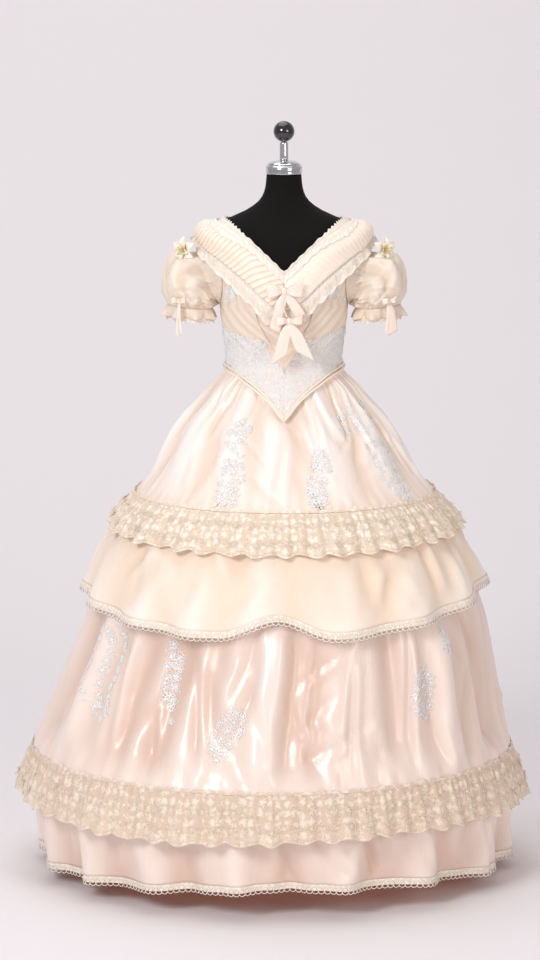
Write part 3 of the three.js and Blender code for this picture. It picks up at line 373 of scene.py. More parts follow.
def cut_of(points):
    """Width, length and area in metres of the flat cloth that a grid was sewn from."""
    across = steps_along(points, 1).sum(axis=1).max() * MM
    down = steps_along(points, 0).sum(axis=0).max() * MM
    a, b = points[:-1, :-1], points[:-1, 1:]
    c, d = points[1:, 1:], points[1:, :-1]
    area = np.linalg.norm(np.cross(b - a, d - a), axis=-1).sum()
    area += np.linalg.norm(np.cross(b - c, d - c), axis=-1).sum()
    return across, down, area / 2 * MM * MM


def sheet_mesh(name, points, crest=None, ring=False, mirror=False):
    """A smooth sheet on a grid of points, with a UV map in metres and a `crest` attribute for painted fold
    shade.
    """
    if mirror:
        points = points * MIRRORED
    rows, columns = points.shape[:2]
    spans = columns if ring else columns - 1
    index = np.arange(rows * columns).reshape(rows, columns)
    beside = np.roll(index, -1, axis=1)
    a, b = index[:-1, :spans], beside[:-1, :spans]
    d, c = index[1:, :spans], beside[1:, :spans]
    order = (a, b, c, d) if mirror else (a, d, c, b)
    faces = np.stack([corner.ravel() for corner in order], axis=1)
    mesh = mesh_of(name, points.reshape(-1, 3), faces.tolist())
    widest = steps_along(points, 1).sum(axis=1).argmax()
    steps = steps_along(points[widest], 0) * MM
    u = np.concatenate([[0], np.cumsum(steps)])
    fall = steps_along(points, 0).mean(axis=1) * MM
    v = -np.concatenate([[0], np.cumsum(fall)])
    wrap = np.concatenate([u, [u[-1] + steps.mean()]])
    layer = mesh.uv_layers.new(name="cloth")
    column_of, row_of = ((0, 1, 1, 0), (0, 0, 1, 1)) if mirror else ((0, 0, 1, 1), (0, 1, 1, 0))
    r = np.repeat(np.arange(rows - 1), spans)
    c = np.tile(np.arange(spans), rows - 1)
    uv = np.stack([
        np.stack([wrap[c + column_of[k]], v[r + row_of[k]]], axis=1) for k in range(4)
    ], axis=1)
    layer.data.foreach_set("uv", uv.astype(np.float32).ravel())
    # crest is 0 in a hollow and 1 on a crest: the finishes paint shade and light by it. Given none, it is all
    # 1.
    values = np.ones(rows * columns) if crest is None else np.clip(crest, 0, 1).ravel()
    mesh.attributes.new("crest", "FLOAT", "POINT").data.foreach_set("value", values.astype(np.float32))
    return mesh


def thicken(piece, thickness):
    """Gives a sheet its wall, inwards from the face that shows, and applies it."""
    solid = piece.modifiers.new("wall", "SOLIDIFY")
    solid.thickness = thickness * MM
    solid.offset = -1
    depsgraph = bpy.context.evaluated_depsgraph_get()
    mesh = bpy.data.meshes.new_from_object(piece.evaluated_get(depsgraph))
    piece.modifiers.clear()
    old = piece.data
    piece.data = mesh
    bpy.data.meshes.remove(old)
    piece.data.name = piece.name


# %% Sewing a panel or a trim
declared = []


def cloth(name, points, node, slot, finish, held, rests_on, crest=None, wall=0.8, **shape):
    """A sewn panel: its mesh, its finish, the solid that it stands for and the cut that it came from."""
    piece = new_object(name, sheet_mesh(name, points, crest, **shape))
    piece.data.materials.append(finish)
    if wall:
        thicken(piece, wall)
    across, down, area = cut_of(points)
    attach(piece, "root")
    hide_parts(node)
    declared.append((piece, (across, down), area, held, rests_on, []))
    return piece


def trim(name, mesh, slot, finish, node=None, on=None):
    """A small piece sewn on a panel."""
    piece = new_object(name, mesh)
    if finish:
        mesh.materials.clear()
        mesh.materials.append(finish)
    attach(piece, "root")
    if node:
        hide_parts(node)
    for entry in declared:
        if entry[0] == on:
            entry[5].append(piece)
    return piece


# %% [markdown]
# ## Finishes
# Satin is a smooth weave whose long threads lie on top: it looks soft but throws broad, bright highlights,
# and its hollows glow in the cloth's own colour. So its shader is only half rough and has a faint coat, shade
# is painted deeper into its hollows and a highlight painted on its crests through the `crest` attribute,
# and a stretched noise gives the small crinkles that no panel is free of, with painted shade and highlight
# that follow them. Chiffon and organza are matt, with shade painted into their folds and crinkles; lace is a
# net with raised flowers and shade painted into the hollows of its folds.


# %% What the finishes share
def folds_of(tree):
    """The `crest` attribute for painted shade: 0 in a hollow and 1 on a crest."""
    return add_node(tree, "ShaderNodeAttribute", attribute_name="crest").outputs["Fac"]


def stretched_noise(tree, per_metre, stretch, detail):
    """A noise on the cloth's own UV map, drawn out along the drop."""
    where = add_node(tree, "ShaderNodeTexCoord")
    scaled = add_node(tree, "ShaderNodeMapping", {
        "Vector": where.outputs["UV"], "Scale": (per_metre, per_metre / stretch, per_metre),
    })
    noise = add_node(tree, "ShaderNodeTexNoise", {
        "Vector": scaled.outputs[0], "Scale": 1.0, "Detail": detail, "Roughness": 0.55,
    })
    return noise.outputs["Fac"]


def blend(tree, factor, low, high):
    """Mixes two colours, each a hex code or what another node gives."""
    low, high = (hex_colour(colour) if isinstance(colour, str) else colour for colour in (low, high))
    made = add_node(tree, "ShaderNodeMix", {"Factor": factor, "A": low, "B": high}, data_type="RGBA")
    return made.outputs[2]


def emboss(tree, shader, *layers):
    """Raises a surface by layers of height, strength and depth in metres, the coarsest first."""
    normal = {}
    for height, strength, depth in layers:
        layer = add_node(tree, "ShaderNodeBump", {
            "Height": height, "Strength": strength, "Distance": depth, **normal,
        })
        normal = {"Normal": layer.outputs["Normal"]}
    set_inputs(tree, shader, normal)


# %% Satin, chiffon and organza
def satin_finish(name, hollow_shade, body, crest_highlight, roughness, coat=0.25):
    """Polyester duchess satin, calendered: broad highlights, with shade painted deeper into its hollows
    and a highlight painted on its crests.
    """
    finish, tree, shader = new_finish(name, roughness)
    crinkle = stretched_noise(tree, per_metre=26, stretch=3.2, detail=3)
    weave = stretched_noise(tree, per_metre=420, stretch=6, detail=1)
    # Painted shade in the hollows, the body colour, then a painted highlight on the crests, by crest.
    ramp = add_node(tree, "ShaderNodeValToRGB", {"Fac": folds_of(tree)})
    ramp.color_ramp.elements[0].color = hex_colour(hollow_shade)
    ramp.color_ramp.elements[1].color = hex_colour(crest_highlight)
    ramp.color_ramp.elements.new(0.45).color = hex_colour(body)
    # A painted highlight on the crinkles' ridges, by the same noise that raises them.
    crinkle_light = blend(tree, crinkle, body, crest_highlight)
    set_inputs(tree, shader, {
        "Base Color": blend(tree, 0.35, ramp.outputs["Color"], crinkle_light), "Coat Weight": coat,
        "Coat Roughness": 0.22, "Sheen Weight": 0.08,
    })
    emboss(tree, shader, (crinkle, 0.5, 0.004), (weave, 0.12, 0.0004))
    return finish


def matt_finish(name, hollow_shade, body, threads, roughness=0.75, alpha=1.0, sheen=0.25, crinkles=0.5):
    """A thin matt weave, such as chiffon or organza: soft painted shade, a little fuzz at grazing light."""
    finish, tree, shader = new_finish(name, roughness)
    crinkle = stretched_noise(tree, per_metre=40, stretch=2.5, detail=4)
    weave = stretched_noise(tree, per_metre=threads, stretch=1.0, detail=1)
    # Painted shade in the hollows of folds, and in the crinkles' low spots by the same noise that raises
    # them.
    shade = blend(tree, folds_of(tree), hollow_shade, body)
    crinkle_light = blend(tree, crinkle, hollow_shade, body)
    set_inputs(tree, shader, {
        "Base Color": blend(tree, 0.3, shade, crinkle_light), "Sheen Weight": sheen, "Alpha": alpha,
    })
    emboss(tree, shader, (crinkle, crinkles, 0.003), (weave, 0.25, 0.0005))
    return finish


# The first colour of each cloth is painted shade for fold hollows; a satin's third is a painted crest
# highlight.
satin = satin_finish("peach duchess satin", "#eccdb4", "#faebdf", "#fff9f3", 0.3)
pink_satin = satin_finish("blush duchess satin", "#dcb8a2", "#ead3c5", "#fbeae0", 0.32)
ribbon_satin = satin_finish("ribbon satin", "#eabd9e", "#f8dac5", "#ffecdf", 0.36, coat=0.15)
collar_satin = satin_finish("pleated satin", "#e3ad82", "#fae8d4", "#fff4e6", 0.42, coat=0.12)
chiffon = matt_finish("matt cream chiffon", "#f2d8be", "#fcf1e6", threads=700)
bodice_chiffon = matt_finish("draped bodice chiffon", "#dfc7af", "#f7eadb", threads=700, crinkles=0.3)
organza = matt_finish(
    "crisp organza", "#e8d4bd", "#f9eddf", threads=900, roughness=0.5, alpha=0.93, sheen=0.4)
print("cloth finishes:", len(bpy.data.materials))

# %% Lace
NET_THREAD, FLOWER_PETALS = 0.45, 3.1


def lace_finish(name, hollow_shade, ground, net, motif, flower_mm, thread_mm, veil):
    """Raschel lace: a fine net, drawn coarser than it is so that it shows, with raised flowers and painted
    fold shade.
    """
    finish, tree, shader = new_finish(name, 0.8)
    # The ground, with shade painted into the hollows of the folds.
    shaded_ground = blend(tree, folds_of(tree), hollow_shade, ground)
    where = add_node(tree, "ShaderNodeTexCoord")
    split = add_node(tree, "ShaderNodeSeparateXYZ", {"Vector": where.outputs["UV"]})
    turns = math.pi / (thread_mm * MM)
    threads = []
    for way in ("ADD", "SUBTRACT"):
        slope = add_node(tree, "ShaderNodeMath", {0: split.outputs[0], 1: split.outputs[1]}, operation=way)
        wave = add_node(tree, "ShaderNodeMath", {0: slope.outputs[0], 1: turns}, operation="MULTIPLY")
        sine = add_node(tree, "ShaderNodeMath", {0: wave.outputs[0]}, operation="SINE")
        threads.append(add_node(tree, "ShaderNodeMath", {0: sine.outputs[0]}, operation="ABSOLUTE"))
    lowest = add_node(tree, "ShaderNodeMath", {
        0: threads[0].outputs[0], 1: threads[1].outputs[0],
    }, operation="MINIMUM")
    thread = add_node(tree, "ShaderNodeMath", {0: lowest.outputs[0], 1: NET_THREAD}, operation="LESS_THAN")
    wobble = add_node(tree, "ShaderNodeTexNoise", {
        "Vector": where.outputs["UV"], "Scale": 90.0, "Detail": 1.0,
    })
    shifted = add_node(tree, "ShaderNodeMix", {
        "Factor": 0.006, "A": where.outputs["UV"], "B": wobble.outputs["Color"],
    }, data_type="VECTOR")
    cells, petals = (add_node(tree, "ShaderNodeTexVoronoi", {
        "Vector": shifted.outputs[1], "Scale": times / (flower_mm * MM), "Randomness": randomness,
    }) for times, randomness in ((1, 0.55), (FLOWER_PETALS, 0.8)))
    bloom = add_node(tree, "ShaderNodeMath", {0: petals.outputs["Distance"], 1: 0.55}, operation="MULTIPLY")
    total = add_node(tree, "ShaderNodeMath", {
        0: cells.outputs["Distance"], 1: bloom.outputs[0],
    }, operation="ADD")
    flower = add_node(tree, "ShaderNodeMapRange", {
        "Value": total.outputs[0], "From Min": 0.76, "From Max": 0.52, "To Min": 0.0, "To Max": 1.0,
    })
    solid, height = (add_node(tree, "ShaderNodeMath", {
        0: flower.outputs[0], 1: thread.outputs[0],
    }, operation=way) for way in ("MAXIMUM", "ADD"))
    cover = add_node(tree, "ShaderNodeMapRange", {"Value": solid.outputs[0], "To Min": veil, "To Max": 1.0})
    relief = add_node(tree, "ShaderNodeMath", {
        0: height.outputs[0], 1: petals.outputs["Distance"],
    }, operation="SUBTRACT")
    weft = blend(tree, thread.outputs[0], shaded_ground, net)
    set_inputs(tree, shader, {
        "Base Color": blend(tree, flower.outputs[0], weft, motif), "Alpha": cover.outputs[0],
    })
    emboss(tree, shader, (relief.outputs[0], 0.5, 0.0004))
    return finish


# The first colour of each lace is painted shade for the hollows of its folds.
cream_lace = lace_finish("cream raschel lace", "#f0d2b0", "#fae5cd", "#fbecd8", "#fcf2e2", 20, 3.0, veil=0.6)
# The same lace with darker colours: painted shade on the lower ruffle, nearer the floor.
shaded_lower_lace = lace_finish("cream raschel lace, lower flounce", "#e3c2a4", "#eed8c1", "#f0dcc8", "#f4e5d4",
                        20, 3.0, veil=0.6)
white_lace = lace_finish("white net lace", "#f0d4b6", "#fae8d2", "#fdf1e0", "#fff8ec", 13, 2.6, veil=0.85)
band_lace = lace_finish("white lace on satin", "#f1d7bd", "#fae9d8", "#fdf3e6", "#fff9f0", 11, 2.4, veil=0.95)
beaded_lace = lace_finish("beaded net lace", "#e6cdbb", "#f3dccb", "#fdf7f3", "#fffdfc", 8, 2.2, veil=0.95)
print("with lace:", len(bpy.data.materials))

# %% Threads, beads, metal and petals
DARK_PLY, GLOSS_SPREAD = 0.93, 0.04


def noise_on(tree, scale, detail):
    """A noise on a hard piece's or a thread's own coordinates."""
    where = add_node(tree, "ShaderNodeTexCoord")
    noise = add_node(tree, "ShaderNodeTexNoise", {
        "Vector": where.outputs["Object"], "Scale": scale, "Detail": detail,
    })
    return noise.outputs["Fac"]


def thread_finish(name, colour, roughness=0.7, grain_mm=1.2):
    """Twisted thread or cord: matt, with the fine ropy grain of its plies."""
    finish, tree, shader = new_finish(name, roughness)
    grain = noise_on(tree, 1 / (grain_mm * MM), 2.0)
    dark = "#" + "".join(f"{int(int(colour[i:i + 2], 16) * DARK_PLY):02x}" for i in (1, 3, 5))
    set_inputs(tree, shader, {"Base Color": blend(tree, grain, dark, colour), "Sheen Weight": 0.2})
    emboss(tree, shader, (grain, 0.3, 0.0006))
    return finish


def gloss_finish(name, colour, roughness, metallic=0.0, coat=0.0):
    """A smooth hard surface. Its faint uneven gloss is what keeps it from looking like plastic film."""
    finish, tree, shader = new_finish(name, roughness)
    spread = add_node(tree, "ShaderNodeMapRange", {
        "Value": noise_on(tree, 60.0, 3.0), "To Min": max(roughness - GLOSS_SPREAD, 0.02),
        "To Max": roughness + GLOSS_SPREAD,
    })
    set_inputs(tree, shader, {
        "Base Color": hex_colour(colour), "Metallic": metallic, "Roughness": spread.outputs[0],
        "Coat Weight": coat,
    })
    return finish


def petal_finish():
    """Pressed silk petals: matt white, greenish cream at the throat, fine veins along each petal."""
    finish, tree, shader = new_finish("pressed silk petal", 0.65)
    where = add_node(tree, "ShaderNodeTexCoord")
    split = add_node(tree, "ShaderNodeSeparateXYZ", {"Vector": where.outputs["UV"]})
    reach = add_node(tree, "ShaderNodeMapRange", {
        "Value": split.outputs[1], "From Min": -0.012, "From Max": -0.002,
    })
    set_inputs(tree, shader, {
        "Base Color": blend(tree, reach.outputs[0], "#fbf4e4", "#ecdfa8"),
        "Subsurface Weight": 0.15, "Subsurface Radius": (0.004, 0.003, 0.002),
    })
    emboss(tree, shader, (stretched_noise(tree, per_metre=900, stretch=9, detail=2), 0.5, 0.0006))
    return finish


cream_thread = thread_finish("cream gimp thread", "#f4e5d0")
white_thread = thread_finish("white cotton thread", "#fdf5ea")
applique_thread = thread_finish("white applique thread", "#fffefc", roughness=0.5, grain_mm=0.9)
crystal = gloss_finish("silver-lined seed bead", "#ffffff", 0.12, coat=1.0)
pearl = gloss_finish("glass pearl", "#fbf3ea", 0.22, coat=0.9)
chrome = gloss_finish("polished chrome", "#d8d9dc", 0.12, metallic=1.0)
lacquer = gloss_finish("black lacquer", "#121214", 0.12, coat=1.0)
jersey = matt_finish("black cotton jersey", "#0b0a0a", "#151413", threads=1100, roughness=0.95, sheen=0.02)
jersey.node_tree.nodes["Principled BSDF"].inputs["Specular IOR Level"].default_value = 0.15
petal = petal_finish()
stamen = thread_finish("yellow stamen thread", "#e6d58c")
print("finishes:", len(bpy.data.materials))

# %% [markdown]
# ## Small trims set by Geometry Nodes
# Eyelets, pearls, lace flowers and beads repeat hundreds of times. Two small trees place them: one sets a
# motif on given points, turned to face out of the cloth, and the other scatters beads over a surface at an
# even spacing. Both end in Realize Instances and Set Material, because an export can't carry instances.


# %% Two trees
def new_tree(name, sockets):
    tree = bpy.data.node_groups.new(name, "GeometryNodeTree")
    tree.interface.new_socket("Geometry", in_out="INPUT", socket_type="NodeSocketGeometry")
    tree.interface.new_socket("Geometry", in_out="OUTPUT", socket_type="NodeSocketGeometry")
    for label, kind in sockets:
        tree.interface.new_socket(label, in_out="INPUT", socket_type=kind)
    return tree, add_node(tree, "NodeGroupInput"), add_node(tree, "NodeGroupOutput")


def finish_tree(tree, given, out, instances):
    whole = add_node(tree, "GeometryNodeRealizeInstances", {"Geometry": instances})
    dressed = add_node(tree, "GeometryNodeSetMaterial", {
        "Geometry": whole.outputs[0], "Material": given.outputs["Finish"],
    })
    tree.links.new(dressed.outputs[0], out.inputs["Geometry"])
    return tree


def motif_tree():
    """Sets a motif on points. Its Z axis faces along `facing` and its X axis along `along`."""
    tree, given, out = new_tree("motifs on points", [
        ("Motif", "NodeSocketObject"), ("Size", "NodeSocketFloat"), ("Size spread", "NodeSocketFloat"),
        ("Seed", "NodeSocketInt"), ("Finish", "NodeSocketMaterial"),
    ])
    facing = add_node(tree, "GeometryNodeInputNamedAttribute", {"Name": "facing"}, data_type="FLOAT_VECTOR")
    along = add_node(tree, "GeometryNodeInputNamedAttribute", {"Name": "along"}, data_type="FLOAT_VECTOR")
    upright = add_node(tree, "FunctionNodeAlignRotationToVector", {
        "Vector": facing.outputs[0],
    }, axis="Z")
    turned = add_node(tree, "FunctionNodeAlignRotationToVector", {
        "Rotation": upright.outputs[0], "Vector": along.outputs[0],
    }, axis="X", pivot_axis="Z")
    chosen = add_node(tree, "GeometryNodeObjectInfo", {"Object": given.outputs["Motif"]})
    dice = add_node(tree, "FunctionNodeRandomValue", {"Seed": given.outputs["Seed"]}, data_type="FLOAT")
    low = add_node(tree, "ShaderNodeMath", {0: 1.0, 1: given.outputs["Size spread"]}, operation="SUBTRACT")
    high = add_node(tree, "ShaderNodeMath", {0: 1.0, 1: given.outputs["Size spread"]}, operation="ADD")
    for label, source in (("Min", low), ("Max", high)):
        socket = next(s for s in dice.inputs if s.name == label and s.enabled)
        tree.links.new(source.outputs[0], socket)
    rolled = next(s for s in dice.outputs if s.enabled)
    size = add_node(tree, "ShaderNodeMath", {0: rolled, 1: given.outputs["Size"]}, operation="MULTIPLY")
    placed = add_node(tree, "GeometryNodeInstanceOnPoints", {
        "Points": given.outputs["Geometry"], "Instance": chosen.outputs["Geometry"],
        "Rotation": turned.outputs[0], "Scale": size.outputs[0],
    })
    return finish_tree(tree, given, out, placed.outputs[0])


def bead_tree():
    """Scatters beads over a surface, never closer than a given distance."""
    tree, given, out = new_tree("beads on a surface", [
        ("Bead", "NodeSocketObject"), ("Size", "NodeSocketFloat"), ("Distance", "NodeSocketFloat"),
        ("Density", "NodeSocketFloat"), ("Seed", "NodeSocketInt"), ("Finish", "NodeSocketMaterial"),
    ])
    spots = add_node(tree, "GeometryNodeDistributePointsOnFaces", distribute_method="POISSON")
    for label, name in (("Mesh", "Geometry"), ("Distance Min", "Distance"), ("Density Max", "Density"),
                        ("Seed", "Seed")):
        socket = next(s for s in spots.inputs if s.name == label and s.enabled)
        tree.links.new(given.outputs[name], socket)
    chosen = add_node(tree, "GeometryNodeObjectInfo", {"Object": given.outputs["Bead"]})
    placed = add_node(tree, "GeometryNodeInstanceOnPoints", {
        "Points": spots.outputs["Points"], "Instance": chosen.outputs["Geometry"],
        "Rotation": spots.outputs["Rotation"], "Scale": given.outputs["Size"],
    })
    return finish_tree(tree, given, out, placed.outputs[0])


motifs_on_points = motif_tree()
beads_on_surface = bead_tree()
print("trees:", [tree.name for tree in bpy.data.node_groups])


# %% Running a tree
def run_tree(mesh, tree, values):
    """Runs a tree on a mesh and gives back the plain mesh that it makes."""
    carrier = new_object("carrier", mesh)
    modifier = carrier.modifiers.new("tree", "NODES")
    modifier.node_group = tree
    for item in tree.interface.items_tree:
        if item.in_out == "INPUT" and item.name in values:
            modifier[item.identifier] = values[item.name]
    depsgraph = bpy.context.evaluated_depsgraph_get()
    made = bpy.data.meshes.new_from_object(carrier.evaluated_get(depsgraph))
    bpy.data.objects.remove(carrier)
    return made


# %% Sewing on motifs and beads
def sew_motifs(name, places, facing, along, motif, size, finish, slot, on=None, spread=0.0, seed=1):
    """Sews one motif on many points of a panel, given in millimetres."""
    mesh = mesh_of(name + "_points", places, [])
    for label, vectors in (("facing", facing), ("along", along)):
        layer = mesh.attributes.new(label, "FLOAT_VECTOR", "POINT")
        layer.data.foreach_set("vector", np.asarray(vectors, np.float32).ravel())
    made = run_tree(mesh, motifs_on_points, {
        "Motif": motif, "Size": size, "Size spread": spread, "Seed": seed, "Finish": finish,
    })
    made.name = name
    trim(name, made, slot, None, on=on)


CROWDING = 1.6


def sew_beads(name, surface, size_mm, distance_mm, seed, on):
    """Sews beads all over a surface of a panel."""
    made = run_tree(surface.copy(), beads_on_surface, {
        "Bead": bead, "Size": size_mm * MM, "Distance": distance_mm * MM,
        "Density": CROWDING / (distance_mm * MM) ** 2, "Seed": seed, "Finish": crystal,
    })
    made.name = name
    trim(name, made, "white_lace", None, on=on)


# %% Patterns for the trees
def pattern_piece(name, build):
    """A motif in metres at the origin. It is kept out of the render and removed at the end."""
    shape = bmesh.new()
    build(shape)
    made = new_object(name, write_mesh(shape, bpy.data.meshes.new(name)))
    made.hide_render = True
    return made


RING_SIDES = 3


def ring_of(shape, radius, thickness, segments, start=0.0, turn=2 * math.pi):
    """A ring or part of one in the XY plane, of a three-sided cord."""
    closed = abs(turn - 2 * math.pi) < 1e-6
    count = segments if closed else segments + 1
    loops = []
    for i in range(count):
        a = start + turn * i / segments
        loop = []
        for s in range(RING_SIDES):
            b = 2 * math.pi * s / RING_SIDES
            r = radius + thickness * math.cos(b)
            loop.append(shape.verts.new((r * math.cos(a), r * math.sin(a), thickness * math.sin(b))))
        loops.append(loop)
    for i in range(count if closed else count - 1):
        one, two = loops[i], loops[(i + 1) % count]
        for s in range(RING_SIDES):
            t = (s + 1) % RING_SIDES
            face = shape.faces.new((one[s], two[s], two[t], one[t]))
            face.smooth = True


def petals_of(shape, count, length, width, height, start, base):
    """Domed petals round a middle, each a small fan."""
    for k in range(count):
        turn = start + 2 * math.pi * k / count
        aim = Vector((math.cos(turn), math.sin(turn), 0))
        side = Vector((-aim.y, aim.x, 0))
        rim = []
        for j in range(7):
            t = math.pi * j / 6
            reach = length * (0.5 - 0.5 * math.cos(t))
            half = width * 0.5 * math.sin(t) ** 0.7
            rim.append((reach, half))
        outline = rim + [(r, -h) for r, h in reversed(rim[1:-1])]
        verts = [shape.verts.new(aim * r + side * h + Vector((0, 0, base))) for r, h in outline]
        top = shape.verts.new(aim * length * 0.6 + Vector((0, 0, base + height)))
        for j in range(len(verts)):
            face = shape.faces.new((verts[j], top, verts[(j + 1) % len(verts)]))
            face.normal_flip()
            face.smooth = True


bead = pattern_piece("pattern_bead", lambda shape: bmesh.ops.create_icosphere(
    shape, subdivisions=1, radius=1))
pearl_ball = pattern_piece("pattern_pearl", lambda shape: bmesh.ops.create_uvsphere(
    shape, u_segments=10, v_segments=7, radius=1))
eyelet = pattern_piece("pattern_eyelet", lambda shape: ring_of(shape, 0.0040, 0.0009, 9))
picot = pattern_piece("pattern_picot", lambda shape: ring_of(shape, 0.0062, 0.0012, 8, math.pi, math.pi))
print("patterns: bead, pearl, eyelet and picot")

# %% [markdown]
# ## The tiers of the skirt
# On the real gown each tier is a ring of straight cloth, gathered into the seam above it. The broad folds are
# the frame's own, and here they get what cloth adds: small gathers under each seam, and long uneven creases
# that start and fade anywhere. A crease is a short row of a table, drawn at random from a fixed seed.


# %% Creases and gathers
def draw_creases(seed, count, falls=(0.05, 0.8), length=(0.25, 0.7), width=(1.2, 3.2), depth=(1.2, 4.0),
                 lean=10.0):
    """Rows of angle, start, end, drift, width and depth for creases that wander down a tier."""
    dice = np.random.default_rng(seed)
    start = dice.uniform(*falls, count)
    end = np.minimum(start + dice.uniform(*length, count), 1.0)
    return np.stack([
        dice.uniform(-180, 180, count), start, end, dice.normal(0, lean, count),
        dice.uniform(*width, count), dice.uniform(*depth, count),
    ], axis=1)


def crease_depth(creases, angle, fall):
    """How far the creases push the cloth: a valley with a softer ridge beside it."""
    total = np.zeros(np.broadcast(angle, fall).shape)
    for at, start, end, drift, width, depth in creases:
        run = (fall - start) / (end - start)
        taper = np.sin(np.pi * np.clip(run, 0, 1)) ** 0.7
        offset = signed(angle - at - drift * run) / width
        total -= depth * taper * (np.exp(-offset ** 2) - 0.75 * np.exp(-(offset - 1.7) ** 2))
    return total


def gathers(angle, fall, count, depth, reach, phase=0.0):
    """Fine puckers below a gathered seam."""
    turn = np.radians(angle)
    second = round(count * 1.37)
    wave = np.cos(count * turn + phase + 1.6 * np.sin(3 * turn)) + 0.6 * np.cos(second * turn - phase)
    return depth * np.exp(-(fall / reach) ** 1.5) * wave * np.minimum(fall * 40, 1)


def sway(points):
    """Shifts a skirt's points sideways by their height."""
    moved = points.copy()
    moved[..., 0] += read(sway_rows, points[..., 2])
    return moved


def tier_points(rows, top, hem, fold, angles, falls):
    """The grid of one tier: `hem` gives the lower edge by angle, `fold` how far the cloth is pushed out."""
    angle, fall = np.meshgrid(angles, falls)
    z = mix(top, hem(angle), fall)
    out = fold(angle, fall)
    return sway(section(rows, angle, z, out)), out


HALVES = (("front", (-90.0, 90.0)), ("back", (90.0, 270.0)))


def crest_of(out):
    """Folds as 0 in the deepest hollow to 1 on the highest crest, which the finishes paint as shade and
    light.
    """
    low, high = np.percentile(out, 3), np.percentile(out, 97)
    return (out - low) / max(high - low, 1e-6)


print("creases and gathers ready")

# %% Satin overskirt
over_creases = draw_creases(11, 70, falls=(0.0, 0.75), width=(1.2, 3.6), depth=(1.6, 5.4), lean=9)
over_diagonals = draw_creases(12, 26, falls=(0.2, 0.7), length=(0.2, 0.4), width=(1.6, 3.6), lean=26)


def overskirt_hem(angle):
    return np.full_like(angle, OVERSKIRT_HEM)


def overskirt_fold(angle, fall):
    basque = bump(signed(angle) / 30) * smooth(mix(WAIST, OVERSKIRT_HEM, fall), 940, 985)
    swell = np.sin(np.pi * np.clip(fall * 1.02, 0, 1)) ** 0.8
    broad = 13 * swell * (1 - 0.9 * basque) * ripple(angle, 13, 0.6) - 2 * swell
    small = crease_depth(over_creases, angle, fall) + 0.8 * crease_depth(over_diagonals, angle, fall)
    seam = gathers(angle, fall, 58, 1.5, 0.22) + gathers(angle, 1 - fall, 64, 1.1, 0.10, 1.0)
    quiet = (1 - 0.8 * basque) * np.minimum(1, 12 * (1 - fall)) * smooth(fall, 0, 0.06)
    return broad + quiet * small + seam * (1 - 0.8 * basque)


def spread_falls(count, ends=0.0):
    """Parts of the drop from 0 to 1, closer together near both ends when `ends` is above 0."""
    t = np.linspace(0, 1, count)
    return mix(t, 0.5 - 0.5 * np.cos(np.pi * t), ends)


tiers = {}


def sew_tier(name, node, slot, finish, rows, top, hem, fold, columns, falls, rests_on):
    for half, (start, end) in HALVES:
        angles = np.linspace(start, end, columns)
        points, out = tier_points(rows, top, hem, fold, angles, falls)
        # crest paints shade into the tier's hollows and light on to its crests.
        piece = cloth(f"{name}_{half}", points, f"{node}_{half}", slot, finish, "gathered",
                      [rests_on.format(half)], crest=crest_of(out))
        tiers[f"{name}_{half}"] = piece
        print(piece.name, len(piece.data.polygons), "faces")


sew_tier("satin_overskirt", "skirt_overskirt", "satin", satin, overskirt_rows, WAIST, overskirt_hem,
         overskirt_fold, 200, spread_falls(46, 0.5), "form_torso")

# %% Matt flounce
flounce_creases = draw_creases(21, 52, falls=(0.05, 0.6), length=(0.3, 0.8), depth=(3.0, 8.0),
                               width=(1.8, 4.6), lean=6)


def flounce_hem(angle):
    return read(flounce_hem_rows, signed(angle)) + EDGE_LACE_WIDTH


def flounce_fold(angle, fall):
    small = crease_depth(flounce_creases, angle, fall) * np.minimum(1, 10 * (1 - fall)) * smooth(fall, 0, 0.2)
    return 20 * fall ** 1.8 * ripple(angle, 16, 1.2) + small


sew_tier("matt_flounce", "skirt_flounce", "chiffon", chiffon, flounce_rows, FLOUNCE_TOP, flounce_hem,
         flounce_fold, 210, spread_falls(32), "skirt_underskirt_{}")

# %% Pink satin skirt
under_creases = draw_creases(31, 84, falls=(0.3, 0.75), length=(0.2, 0.6), width=(1.0, 3.2),
                             depth=(2.0, 6.6), lean=5)
under_diagonals = draw_creases(32, 34, falls=(0.4, 0.8), length=(0.12, 0.3), width=(1.4, 3), lean=12)
# angle, width, depth, start and end as parts of the drop, drift round on the way down
soft_puffs = [
    (-8, 3.2, 9, 0.4, 0.97, -3), (2.5, 2.2, 12, 0.38, 1.0, 0.5), (17, 3.2, 8, 0.42, 0.9, 5),
    (40, 3.4, 9, 0.4, 0.96, 3), (-52, 3.0, 9, 0.4, 0.95, -3), (55, 3.0, 8, 0.45, 1.0, 2),
    (-66, 3, 8, 0.4, 0.9, -2), (130, 4, 9, 0.4, 0.95, 2), (-135, 4, 9, 0.4, 0.95, -2),
    (175, 4, 10, 0.4, 0.95, 1),
]
# few rows where the flounce hides the skirt, and close ones below it
HIDDEN_PART = 0.36
underskirt_falls = np.concatenate([np.linspace(0, HIDDEN_PART, 6)[:-1], np.linspace(HIDDEN_PART, 1, 44)])


def underskirt_hem(angle):
    return np.full_like(angle, UNDERSKIRT_HEM)


